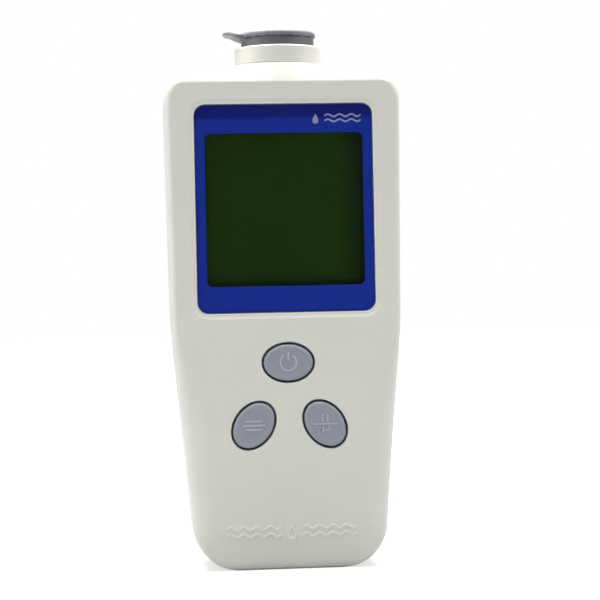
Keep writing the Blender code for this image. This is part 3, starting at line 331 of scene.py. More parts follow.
@dataclass(frozen=True)
class Finish:
    """One material: its colour, gloss, fine texture, edge wear and painted edge highlights, and dust."""

    slot: str
    colour: Colour
    roughness: float
    metallic: float = 0.0
    surface: Surface = Surface.SPARKED
    grain_size: float = 0.0004
    relief: float = 0.000012
    tone: float = 0.035
    wear: float = 0.25
    wear_and_highlight_colour: Colour = (0.86, 0.85, 0.81)
    wear_radius: float = 0.0004
    dust: float = 0.08
    dust_colour: Colour = (0.55, 0.52, 0.46)
    spread: float = 0.05
    coat: float = 0.0
    clear: float = 0.0
    ior: float = 1.5
    bump: float = 0.6
    dust_roughness: float = 0.3
    coat_roughness: float = 0.12

    def pattern(self, tree: Tree, place: Socket, colour: Socket) -> Socket:
        """Returns the colour with this finish's own pattern over it. A plain finish has none."""
        return colour

    def material(self, groups: ShaderGroups) -> bpy.types.Material:
        """Builds the material.

        Args:
            groups: The shared shader node groups.

        Returns:
            The material, named after the finish's slot.
        """
        made = bpy.data.materials.new(self.slot)
        made.use_nodes = True
        tree = Tree(made.node_tree)
        shader = made.node_tree.nodes["Principled BSDF"]
        place = tree.add("ShaderNodeTexCoord").outputs["Object"]

        def group(kind: bpy.types.NodeTree, values: dict[str, InputValue]) -> Node:
            return tree.add("ShaderNodeGroup", {"Vector": place} | values, node_tree=kind)

        grain = group(groups.grain[self.surface], {"Size": self.grain_size})
        dark = tuple(value * (1 - self.tone) for value in self.colour)
        light = tuple(min(value * (1 + self.tone), 1.0) for value in self.colour)
        colour = tree.blend(grain.outputs["Tone"], dark, light)
        colour = self.pattern(tree, place, colour)
        # Lightens convex edges: rubbed wear, and on the shell, the keys and the cap also a painted highlight
        # where edges catch light.
        if self.wear:
            worn = group(groups.wear, {"Radius": self.wear_radius, "Amount": self.wear})
            colour = tree.blend(worn.outputs["Mask"], colour, self.wear_and_highlight_colour)
        gloss = group(groups.handling, {"Roughness": self.roughness, "Spread": self.spread})
        roughness = gloss.outputs["Roughness"]
        if self.dust:
            dusty = group(groups.dust, {"Amount": self.dust})
            colour = tree.blend(dusty.outputs["Mask"], colour, self.dust_colour)
            rougher = tree.times(dusty.outputs["Mask"], self.dust_roughness)
            roughness = tree.maths("ADD", roughness, rougher, True)
        bump = tree.add("ShaderNodeBump", {
            "Strength": self.bump, "Distance": self.relief, "Height": grain.outputs["Height"]})
        looks = {"Base Color": colour, "Roughness": roughness, "Normal": bump.outputs["Normal"]}
        for name, socket in looks.items():
            tree.join(socket, shader.inputs[name])
        plain = {"Metallic": self.metallic, "IOR": self.ior, "Coat Weight": self.coat,
                 "Coat Roughness": self.coat_roughness, "Transmission Weight": self.clear}
        for name, value in plain.items():
            shader.inputs[name].default_value = value
        return made


@dataclass(frozen=True)
class LcdFinish(Finish):
    """Dark green liquid-crystal glass with painted shade towards its edges, most at its right and lower
    edges.
    """

    middle: Point = (-0.004, 0.122)
    across: Point = (0.020, 0.031)
    along: Point = (0.022, 0.029)
    # painted shade colour at the glass's edges
    painted_edge_shade: Colour = (0.0170, 0.0420, 0.0130)

    def pattern(self, tree: Tree, place: Socket, colour: Socket) -> Socket:
        """Paints shade over the glass away from its lit middle."""
        parts = tree.add("ShaderNodeSeparateXYZ", {0: place})
        across = tree.maths("ABSOLUTE", tree.maths("SUBTRACT", parts.outputs["X"], self.middle[0]))
        along = tree.maths("ABSOLUTE", tree.maths("SUBTRACT", parts.outputs["Z"], self.middle[1]))
        edge = tree.maths("MAXIMUM", tree.between(across, *self.across), tree.between(along, *self.along))
        return tree.blend(edge, colour, self.painted_edge_shade)


@dataclass(frozen=True)
class PrintFinish(Finish):
    """Blue ink behind the window, with the bezel's shadow painted along its upper edge."""

    # height range and colour of the painted shadow of the bezel
    bezel_shadow_z: Point = (0.1496, 0.1508)
    painted_bezel_shadow: Colour = (0.022, 0.034, 0.38)

    def pattern(self, tree: Tree, place: Socket, colour: Socket) -> Socket:
        """Paints the bezel's shadow over the ink along the upper edge."""
        return tree.blend(tree.between(tree.height(place), *self.bezel_shadow_z), colour, self.painted_bezel_shadow)


@dataclass(frozen=True)
class CapFinish(Finish):
    """Grey rubber painted paler on the flange and the tab, a painted highlight where they face the top light.
    """

    # height range and colour of the painted light on the flange and the tab
    top_light_z: Point = (0.1785, 0.1798)
    cloud_scale: float = 160.0
    cloud_range: Triple = (0.2, 0.7, 0.6)
    painted_top_light: Colour = (0.27, 0.275, 0.31)

    def pattern(self, tree: Tree, place: Socket, colour: Socket) -> Socket:
        """Paints light unevenly onto the rubber above the plug."""
        cloud = tree.between(tree.noise(place, self.cloud_scale, 3.0), *self.cloud_range)
        share = tree.times(tree.between(tree.height(place), *self.top_light_z), cloud)
        return tree.blend(share, colour, self.painted_top_light)


@dataclass(frozen=True)
class JacketFinish(Finish):
    """A dry cell's printed sleeve: a coloured middle between two plain ends."""

    middle_z: float = 0.121
    end_colour: Colour = (0.62, 0.63, 0.64)
    stripe: Colour = (0.75, 0.55, 0.08)
    stripe_start: Point = (0.0128, 0.0130)
    stripe_end: Point = (0.0146, 0.0144)
    end_start: Point = (0.0158, 0.0160)

    def pattern(self, tree: Tree, place: Socket, colour: Socket) -> Socket:
        """Lays the end bands and the thin stripes over the sleeve."""
        away = tree.maths("ABSOLUTE", tree.maths("SUBTRACT", tree.height(place), self.middle_z))
        striped = tree.times(tree.between(away, *self.stripe_start), tree.between(away, *self.stripe_end))
        colour = tree.blend(striped, colour, self.stripe)
        return tree.blend(tree.between(away, *self.end_start), colour, self.end_colour)


@dataclass(frozen=True)
class LaminateFinish(Finish):
    """Green board laminate with its inner copper showing through the solder mask."""

    copper: Colour = (0.05, 0.30, 0.11)
    area_scale: float = 130.0
    area_edge: Point = (0.42, 0.44)

    def pattern(self, tree: Tree, place: Socket, colour: Socket) -> Socket:
        """Lays lighter copper areas under the mask."""
        inputs = {"Vector": place, "Scale": self.area_scale}
        cells = tree.add("ShaderNodeTexVoronoi", inputs, distance="CHEBYCHEV").outputs["Distance"]
        return tree.blend(tree.between(cells, *self.area_edge), colour, self.copper)


# the shell's pale edge colour is wear and a painted highlight on the lips of the key holes
WHITE_ABS = Finish("shell_plastic", (0.76, 0.755, 0.70), 0.40, dust=0.05, wear=0.4,
                   wear_and_highlight_colour=(0.95, 0.945, 0.91))
FINISHES: tuple[Finish, ...] = (
    WHITE_ABS,
    Finish("seal_rubber", (0.03, 0.03, 0.03), 0.75, surface=Surface.MATT, wear=0.0),
    Finish("window_clear", (0.97, 0.98, 1.0), 0.03, surface=Surface.POLISHED, grain_size=0.02,
           relief=0.0000005, tone=0.01, wear=0.0, dust=0.0, spread=0.015, clear=1.0, ior=1.45),
    PrintFinish("print_blue", (0.027, 0.072, 0.66), 0.5, surface=Surface.POLISHED, wear=0.0, dust=0.0,
                ior=1.12),
    Finish("print_light", (0.62, 0.66, 0.90), 0.45, surface=Surface.POLISHED, wear=0.0, dust=0.0),
    Finish("tape_black", (0.015, 0.015, 0.015), 0.85, surface=Surface.MATT, wear=0.0, dust=0.0),
    LcdFinish("lcd_glass", (0.026, 0.074, 0.0095), 0.22, surface=Surface.POLISHED, grain_size=0.004,
              relief=0.0000005, wear=0.0, dust=0.0, ior=1.12),
    Finish("holder_plastic", (0.78, 0.78, 0.75), 0.5, wear=0.1),
    Finish("guide_acrylic", (0.82, 0.86, 0.84), 0.12, surface=Surface.POLISHED, coat=0.4, wear=0.1),
    Finish("strip_rubber", (0.72, 0.50, 0.54), 0.7, surface=Surface.BRUSHED, grain_size=0.0002, wear=0.0),
    LaminateFinish("board_laminate", (0.015, 0.16, 0.055), 0.38, surface=Surface.WOVEN, coat=0.3,
                   wear_and_highlight_colour=(0.45, 0.42, 0.22)),
    Finish("chip_black", (0.022, 0.022, 0.024), 0.5, grain_size=0.0002),
    Finish("header_plastic", (0.80, 0.76, 0.66), 0.45),
    # the cap's pale edge colour is wear and a painted highlight on the flange's rim
    CapFinish("cap_rubber", (0.135, 0.138, 0.157), 0.42, surface=Surface.MATT, wear=0.8,
              wear_and_highlight_colour=(0.50, 0.51, 0.55), wear_radius=0.0006, dust=0.12),
    Finish("insulator_plastic", (0.03, 0.03, 0.033), 0.45),
    Finish("plated_metal", (0.66, 0.65, 0.62), 0.26, 1.0, Surface.BRUSHED, wear=0.4, relief=0.000004),
    Finish("lead_red", (0.42, 0.018, 0.015), 0.5, surface=Surface.MATT),
    Finish("lead_black", (0.018, 0.018, 0.018), 0.5, surface=Surface.MATT),
    Finish("lead_grey", (0.10, 0.10, 0.10), 0.55, surface=Surface.MATT),
    Finish("steel_screw", (0.52, 0.52, 0.53), 0.30, 1.0, Surface.BRUSHED, relief=0.000004,
           wear_and_highlight_colour=(0.8, 0.8, 0.8)),
    JacketFinish("cell_jacket", (0.05, 0.20, 0.16), 0.32, 0.35, Surface.POLISHED, coat=0.5, dust=0.0),
    # the keys' pale edge colour is wear and a painted highlight on their rims
    Finish("key_rubber", (0.31, 0.33, 0.395), 0.47, surface=Surface.MATT, grain_size=0.0003,
           wear=0.9, wear_and_highlight_colour=(0.52, 0.53, 0.59), wear_radius=0.0006, dust=0.06),
    # The raised marks are the key rubber painted lighter: a painted highlight where their edges catch light.
    Finish("key_mark", (0.47, 0.49, 0.56), 0.5, surface=Surface.MATT, wear=0.3, dust=0.0),
    # Shell plastic painted lighter for the raised relief and the window bead: a painted highlight where their
    # edges catch light.
    Finish("relief_plastic", (0.86, 0.855, 0.80), 0.38, dust=0.0, wear=0.5),
    Finish("plunger_plastic", (0.02, 0.02, 0.02), 0.4),
    Finish("gold_pin", (0.83, 0.62, 0.24), 0.22, 1.0, Surface.POLISHED, wear=0.0, dust=0.0),
    Finish("copper_trace", (0.02, 0.24, 0.08), 0.3, surface=Surface.POLISHED, wear=0.0, coat=0.4),
    Finish("solder", (0.70, 0.70, 0.71), 0.3, 1.0, Surface.MATT, wear=0.0),
    Finish("ceramic_tan", (0.36, 0.25, 0.15), 0.45, surface=Surface.MATT, wear=0.0),
)


# Solids

class Solid:
    """A closed mesh put together from lofts, slabs and turned bodies."""

    def __init__(self) -> None:
        """Starts an empty mesh."""
        self.mesh = bmesh.new()

    def loft(self, rings: Sequence[Sequence[Vector]], looped: bool = False) -> "Solid":
        """Adds a skin through rings of equally many points.

        Args:
            rings: The rings, in order.
            looped: Whether the last ring joins the first, in place of two end caps.

        Returns:
            The solid itself.
        """
        rows = [[self.mesh.verts.new(point) for point in ring] for ring in rings]
        count = len(rows[0])
        pairs = list(zip(rows, rows[1:])) + ([(rows[-1], rows[0])] if looped else [])
        for low, high in pairs:
            for i in range(count):
                j = (i + 1) % count
                self.mesh.faces.new((low[i], low[j], high[j], high[i]))
        if not looped:
            self.mesh.faces.new(rows[0])
            self.mesh.faces.new(list(reversed(rows[-1])))
        return self

    def slab(self, outline: Sequence[Point], low_y: float, high_y: float) -> "Solid":
        """Adds an XZ outline extruded along Y."""
        return self.loft([in_plane(outline, y) for y in (low_y, high_y)])

    def frame(self, outer: Sequence[Point], inner: Sequence[Point], low_y: float, high_y: float) -> "Solid":
        """Adds a flat frame between two outlines of equally many points."""
        corners = ((outer, low_y), (outer, high_y), (inner, high_y), (inner, low_y))
        return self.loft([in_plane(outline, y) for outline, y in corners], True)

    def pin(self, x: float, z: float, radius: float, low_y: float, high_y: float, count: int = 24) -> "Solid":
        """Adds a round bar along Y."""
        return self.slab(ellipse(x, z, radius, radius, 0.0, count), low_y, high_y)

    def turned(self, profile: Sequence[Point], centre: Point, count: int = 72,
               looped: bool = False) -> "Solid":
        """Adds a body turned about an upright axis.

        Args:
            profile: Radius and height pairs.
            centre: The axis, as x and y.
            count: How many sides the body has.
            looped: Whether the profile is a closed loop clear of the axis.

        Returns:
            The solid itself.
        """
        turns = [tau * i / count for i in range(count)]
        rings = [[Vector((centre[0] + r * cos(t), centre[1] + r * sin(t), z)) for t in turns]
                 for r, z in profile]
        return self.loft(rings, looped)

    def triangulated(self) -> "Solid":
        """Splits every four-sided face, so that none is bent."""
        bmesh.ops.triangulate(self.mesh, faces=[face for face in self.mesh.faces if len(face.verts) == 4])
        return self

    def made(self, name: str) -> Object:
        """Turns the solid into an object."""
        bmesh.ops.recalc_face_normals(self.mesh, faces=self.mesh.faces)
        data = bpy.data.meshes.new(name)
        self.mesh.to_mesh(data)
        self.mesh.free()
        return linked(name, data)


def linked(name: str, data: bpy.types.ID) -> Object:
    """Puts data into the scene as an object at the origin."""
    made = bpy.data.objects.new(name, data)
    bpy.context.scene.collection.objects.link(made)
    return made


def in_plane(outline: Sequence[Point], y: float) -> list[Vector]:
    """Places an XZ outline at one depth."""
    return [Vector((x, y, z)) for x, z in outline]


def settled(made: Object) -> Object:
    """Replaces an object's modifiers by their result."""
    graph = bpy.context.evaluated_depsgraph_get()
    mesh = bpy.data.meshes.new_from_object(made.evaluated_get(graph), depsgraph=graph)
    made.modifiers.clear()
    made.data = mesh
    return made


def combined(target: Object, other: Object, operation: Operation) -> Object:
    """Cuts, adds or keeps one solid with another, which is used up."""
    modifier = target.modifiers.new(operation.value, "BOOLEAN")
    modifier.operation = operation.value
    modifier.solver = "EXACT"
    modifier.object = other
    settled(target)
    bpy.data.objects.remove(other)
    return target


def softened(made: Object, width: float, segments: int = 2) -> Object:
    """Rounds an object's sharp edges."""
    modifier = made.modifiers.new("soft_edges", "BEVEL")
    modifier.width = width
    modifier.segments = segments
    modifier.limit_method = "ANGLE"
    modifier.angle_limit = SOFT_ANGLE
    modifier.harden_normals = False
    return settled(made)


def ellipse(x: float, z: float, long: float, short: float, turn: float = 0.0,
            count: int = 64) -> list[Point]:
    """Returns an ellipse in the XZ plane, its long axis turned by a number of degrees."""
    angle = radians(turn)
    points = []
    for i in range(count):
        along = long * cos(tau * i / count)
        across = short * sin(tau * i / count)
        points.append((x + along * cos(angle) - across * sin(angle),
                       z + along * sin(angle) + across * cos(angle)))
    return points


def sleeve(x: float, z: float, rings: Sequence[Point], count: int = 36) -> list[list[Vector]]:
    """Returns round rings about one axis along Y, from pairs of depth and radius."""
    return [in_plane(ellipse(x, z, radius, radius, 0.0, count), y) for y, radius in rings]


def quarter_arc(steps: int) -> list[Point]:
    """Returns the cosine and sine of even steps through a quarter turn."""
    return [(cos(QUARTER * k / steps), sin(QUARTER * k / steps)) for k in range(steps + 1)]


def rounded(low: Point, high: Point, radius: float, steps: int = 10) -> list[Point]:
    """Returns a rectangle with round corners in the XZ plane."""
    corners = ((high[0], high[1], 0), (low[0], high[1], 1), (low[0], low[1], 2), (high[0], low[1], 3))
    points = []
    for x, z, quarter in corners:
        middle_x = x - radius if x == high[0] else x + radius
        middle_z = z - radius if z == high[1] else z + radius
        for step in range(steps + 1):
            turn = (quarter + step / steps) * QUARTER
            points.append((middle_x + radius * cos(turn), middle_z + radius * sin(turn)))
    return points


def grown(box: Box, grow: float, radius: float) -> list[Point]:
    """Returns a box's rounded XZ outline, grown on every side."""
    low, high = box
    return rounded((low.x - grow, low.z - grow), (high.x + grow, high.z + grow), radius + grow)


def stroke(points: Sequence[Point], width: float, end_steps: int = 4) -> list[Point]:
    """Returns the outline of a line drawn with a round pen.

    Args:
        points: The line's points.
        width: The pen's width.
        end_steps: How many points round each end.

    Returns:
        One closed outline.
    """
    path = [Vector(point) for point in points]
    left: list[Point] = []
    right: list[Point] = []
    for i, point in enumerate(path):
        heading = (path[min(i + 1, len(path) - 1)] - path[max(i - 1, 0)]).normalized()
        across = Vector((-heading.y, heading.x)) * width / 2
        left.append(tuple(point + across))
        right.append(tuple(point - across))

    def cap(centre: Vector, start: Point) -> list[Point]:
        offset = Vector(start) - centre
        turns = [-pi * k / (end_steps + 1) for k in range(1, end_steps + 1)]
        return [tuple(centre + Vector((offset.x * cos(t) - offset.y * sin(t),
                                       offset.x * sin(t) + offset.y * cos(t)))) for t in turns]

    return left + cap(path[-1], left[-1]) + right[::-1] + cap(path[0], right[0])


def stations(box: Box, *rows: Triple) -> list[list[Vector]]:
    """Returns a box's rounded outline at several depths, from rows of depth, growth and corner radius."""
    return [in_plane(grown(box, grow, radius), y) for y, grow, radius in rows]


def shrunk(box: Box, inset: float) -> Box:
    """Returns a box drawn in across X and Z."""
    edge = Vector((inset, 0.0, inset))
    return box[0] + edge, box[1] - edge


def wave(start: Point, length: float, height: float, count: int, steps: int = 12) -> list[Point]:
    """Returns a line of ripples from a starting point."""
    total = count * steps
    return [(start[0] + length * i / total, start[1] + height * sin(tau * i / steps))
            for i in range(total + 1)]


def droplet(x: float, z: float, radius: float, count: int = 40) -> list[Point]:
    """Returns the outline of a drop with its tip up."""
    turns = [tau * i / count for i in range(count)]
    return [(x - radius * sin(t) * sin(t / 2) ** 1.4, z + 1.2 * radius * cos(t)) for t in turns]


# Geometry node trees

class Repeater:
    """Geometry node trees that repeat a part at a mesh's points."""

    SHAPE_INPUTS = {
        "screw": {"Shank Radius": 0.001, "Length": 0.01, "Head Radius": 0.002, "Head Thickness": 0.001},
        "coil": {"Base Radius": 0.0034, "Tip Radius": 0.0024, "Height": 0.002, "Turns": 3.0, "Wire": 0.0003},
        "block": {"Width": 0.001, "Depth": 0.001, "Height": 0.001},
        "pin": {"Radius": 0.0005, "Height": 0.002},
    }
    TURN = "turn"
    THREAD_LENGTH = 0.72     # of the shank's length
    THREAD_FOOT = -0.95      # of the shank's length
    THREAD_PITCH = 0.72      # of the shank's radius, like the next two
    THREAD_TAPER = 0.96
    THREAD_RIDGE = 0.14
    HEAD_TOP = 0.84          # of the head's radius, like the next two
    CROSS_REACH = 1.15
    CROSS_WIDTH = 0.26
    CROSS_BARS = ((1.0, 0.0), (0.9, QUARTER))
    BAR_SHARE = 0.8          # of the pin's height
    TIP_SHARE = 0.2
    TIP_SUNK = 0.97
    TIP_BLUNT = 0.35         # of the pin's radius, like the next
    TIP_FOOT = 0.96

    def __init__(self) -> None:
        """Builds each tree once."""
        shapes = {"screw": self.screw, "coil": self.coil, "block": self.block, "pin": self.pin}
        self.trees = {name: self.tree(name, shape) for name, shape in shapes.items()}

    def tree(self, name: str, shape: Callable[[Tree, Node], Socket]) -> bpy.types.NodeTree:
        """Builds a tree that places one shape at every point.

        Args:
            name: The tree's name, and the key of its sizes.
            shape: The method that makes the shape.

        Returns:
            The finished tree.
        """
        sizes = {label: (FLOAT, value) for label, value in self.SHAPE_INPUTS[name].items()}
        inputs = {"Geometry": (GEOMETRY, None), "Material": ("NodeSocketMaterial", None),
                  "Seed": ("NodeSocketInt", SEED), "Spin": (FLOAT, 0.0)} | sizes
        tree, given, made = new_group(name, "GeometryNodeTree", inputs, {"Geometry": GEOMETRY})
        attribute = tree.add("GeometryNodeInputNamedAttribute", {"Name": self.TURN}, data_type="FLOAT_VECTOR")
        placed = tree.add("GeometryNodeInstanceOnPoints", {
            "Points": given.outputs["Geometry"], "Instance": shape(tree, given),
            "Rotation": attribute.outputs["Attribute"]})
        spin = tree.add("FunctionNodeRandomValue", {
            2: 0.0, 3: given.outputs["Spin"], "Seed": given.outputs["Seed"]}, data_type="FLOAT")
        turned = tree.add("GeometryNodeRotateInstances", {
            "Instances": placed.outputs[0], "Rotation": tree.upright({2: spin.outputs[1]})})
        real = tree.add("GeometryNodeRealizeInstances", {0: turned.outputs[0]})
        dressed = tree.add("GeometryNodeSetMaterial", {
            "Geometry": real.outputs[0], "Material": given.outputs["Material"]})
        tree.join(dressed.outputs[0], made.inputs["Geometry"])
        return tree.tree

    @staticmethod
    def moved(tree: Tree, mesh: Socket, height: InputValue, turn: float = 0.0) -> Socket:
        """Lifts a shape along its axis, turned about it."""
        return tree.add("GeometryNodeTransform", {
            "Geometry": mesh, "Translation": tree.upright({2: height}),
            "Rotation": (0.0, 0.0, turn)}).outputs[0]

    @staticmethod
    def together(tree: Tree, *parts: Socket) -> Socket:
        """Joins shapes into one."""
        joined = tree.add("GeometryNodeJoinGeometry")
        for part in parts:
            tree.join(part, joined.inputs[0])
        return joined.outputs[0]

    def screw(self, tree: Tree, given: Node) -> Socket:
        """Makes a pan-head screw with a cross recess and a rolled thread, its seat at the origin."""
        radius, length = given.outputs["Shank Radius"], given.outputs["Length"]
        head, thick = given.outputs["Head Radius"], given.outputs["Head Thickness"]
        shank = tree.add("GeometryNodeMeshCylinder", {"Vertices": 20, "Radius": radius, "Depth": length})
        threaded = tree.times(length, self.THREAD_LENGTH)
        turns = tree.maths("DIVIDE", threaded, tree.times(radius, self.THREAD_PITCH))
        spiral = tree.add("GeometryNodeCurveSpiral", {
            "Resolution": 14, "Rotations": turns, "Start Radius": radius,
            "End Radius": tree.times(radius, self.THREAD_TAPER), "Height": threaded})
        thread = self.swept(tree, spiral, 4, tree.times(radius, self.THREAD_RIDGE))
        head_cut = tree.add("GeometryNodeMeshCone", {
            "Vertices": 28, "Side Segments": 1, "Radius Top": tree.times(head, self.HEAD_TOP),
            "Radius Bottom": head, "Depth": thick}).outputs["Mesh"]
        arm, slim = tree.times(head, self.CROSS_REACH), tree.times(head, self.CROSS_WIDTH)
        for share, turn in self.CROSS_BARS:
            size = tree.upright({0: arm, 1: slim, 2: tree.times(thick, share)})
            bar = tree.add("GeometryNodeMeshCube", {"Size": size}).outputs["Mesh"]
            head_cut = tree.add("GeometryNodeMeshBoolean", {
                "Mesh 1": head_cut, "Mesh 2": self.moved(tree, bar, thick, turn)},
                operation="DIFFERENCE", solver="EXACT").outputs[0]
        return self.together(
            tree, head_cut, self.moved(tree, shank.outputs["Mesh"], tree.times(length, -0.5)),
            self.moved(tree, thread, tree.times(length, self.THREAD_FOOT)))

    @staticmethod
    def swept(tree: Tree, path: Node, sides: int, radius: Socket) -> Socket:
        """Draws a round or few-sided bar along a curve."""
        ring = tree.add("GeometryNodeCurvePrimitiveCircle", {"Resolution": sides, "Radius": radius})
        return tree.add("GeometryNodeCurveToMesh", {
            "Curve": path.outputs[0], "Profile Curve": ring.outputs[0], "Fill Caps": True}).outputs[0]

    def coil(self, tree: Tree, given: Node) -> Socket:
        """Makes a tapered coil spring that stands on the origin."""
        spiral = tree.add("GeometryNodeCurveSpiral", {
            "Resolution": 28, "Rotations": given.outputs["Turns"],
            "Start Radius": given.outputs["Base Radius"], "End Radius": given.outputs["Tip Radius"],
            "Height": given.outputs["Height"]})
        return self.swept(tree, spiral, 8, given.outputs["Wire"])

    def block(self, tree: Tree, given: Node) -> Socket:
        """Makes a small block centred on the origin."""
        size = tree.upright({i: given.outputs[name] for i, name in enumerate(("Width", "Depth", "Height"))})
        return tree.add("GeometryNodeMeshCube", {"Size": size}).outputs["Mesh"]

    def pin(self, tree: Tree, given: Node) -> Socket:
        """Makes an upright pin with a blunt tip that stands on the origin."""
        radius, height = given.outputs["Radius"], given.outputs["Height"]
        low = tree.times(height, self.BAR_SHARE)
        bar = tree.add("GeometryNodeMeshCylinder", {"Vertices": 20, "Radius": radius, "Depth": low})
        tip = tree.add("GeometryNodeMeshCone", {
            "Vertices": 20, "Radius Top": tree.times(radius, self.TIP_BLUNT),
            "Radius Bottom": tree.times(radius, self.TIP_FOOT), "Depth": tree.times(height, self.TIP_SHARE)})
        return self.together(tree, self.moved(tree, bar.outputs["Mesh"], tree.times(low, 0.5)),
                             self.moved(tree, tip.outputs["Mesh"], tree.times(low, self.TIP_SUNK)))

    def repeat(self, name: str, shape: str, places: Sequence[Vector], material: bpy.types.Material,
               sizes: dict[str, float], turns: Sequence[Vector] | Vector = Vector()) -> Object:
        """Places a shape at every given point and bakes the result.

        Args:
            name: The finished object's name.
            shape: The tree to use.
            places: Where each copy goes.
            material: The copies' material.
            sizes: The tree's sizes by name.
            turns: Each copy's turn, or one turn for all.

        Returns:
            A plain mesh object.
        """
        data = bpy.data.meshes.new(name)
        data.from_pydata([tuple(place) for place in places], [], [])
        attribute = data.attributes.new(self.TURN, "FLOAT_VECTOR", "POINT")
        each = [turns] * len(places) if isinstance(turns, Vector) else turns
        for entry, turn in zip(attribute.data, each):
            entry.vector = turn
        made = linked(name, data)
        modifier = made.modifiers.new(shape, "NODES")
        modifier.node_group = self.trees[shape]
        values = sizes | {"Material": material}
        for item in modifier.node_group.interface.items_tree:
            if item.name in values and item.in_out == "INPUT":
                modifier[item.identifier] = values[item.name]
        made.update_tag()
        settled(made)
        for stray in [layer.name for layer in made.data.attributes if layer.name == self.TURN]:
            made.data.attributes.remove(made.data.attributes[stray])
        return made


class Workshop:
    """Hands finished pieces to their bodies in their materials."""

    def __init__(self) -> None:
        """Builds the materials and the repeating trees."""
        groups = ShaderGroups()
        self.materials = {finish.slot: finish.material(groups) for finish in FINISHES}
        self.repeater = Repeater()

    def hand_over(self, made: Object, body: Body, slot: str, *nodes: str,
                  weighted: bool = True) -> Object:
        """Smooths a piece, dresses it and lets it ride on its body.

        Args:
            made: The finished piece.
            body: The body it moves with.
            slot: Its finish.
            nodes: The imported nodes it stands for.
            weighted: Whether large faces steer the shading.

        Returns:
            The same piece.
        """
        mesh = made.data
        mesh.shade_smooth()
        mesh.set_sharp_from_angle(angle=SMOOTH_ANGLE)
        if weighted:
            modifier = made.modifiers.new("face_weighted", "WEIGHTED_NORMAL")
            modifier.keep_sharp = True
            settled(made)
        made.data.materials.clear()
        made.data.materials.append(self.materials[slot])
        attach(made, body.value)
        if nodes:
            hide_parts(*nodes)
        LOG.info("%s rides on %s, %d faces", made.name, body.value, len(made.data.polygons))
        return made

    def row(self, name: str, shape: str, places: Sequence[Vector], body: Body, slot: str,
            sizes: dict[str, float], *nodes: str, turns: Sequence[Vector] | Vector = Vector(),
            soft: float = 0.0) -> None:
        """Repeats a shape and hands the copies over as one piece.

        Args:
            name: The piece's name.
            shape: The repeated shape.
            places: Where each copy goes.
            body: The body the piece moves with.
            slot: Its finish.
            sizes: The shape's sizes by name.
            nodes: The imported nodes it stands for.
            turns: Each copy's turn, or one turn for all.
            soft: How far its edges are rounded.
        """
        made = self.repeater.repeat(name, shape, places, self.materials[slot], sizes, turns)
        if soft:
            softened(made, soft)
        self.hand_over(made, body, slot, *nodes, weighted=False)

    def dress(self, slot: str, *nodes: str) -> None:
        """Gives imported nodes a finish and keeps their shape."""
        for name in nodes:
            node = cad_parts[name]
            for place in node.material_slots:
                place.material = self.materials[slot]
            LOG.info("%s keeps its packed shape in %s", name, slot)


# Housing

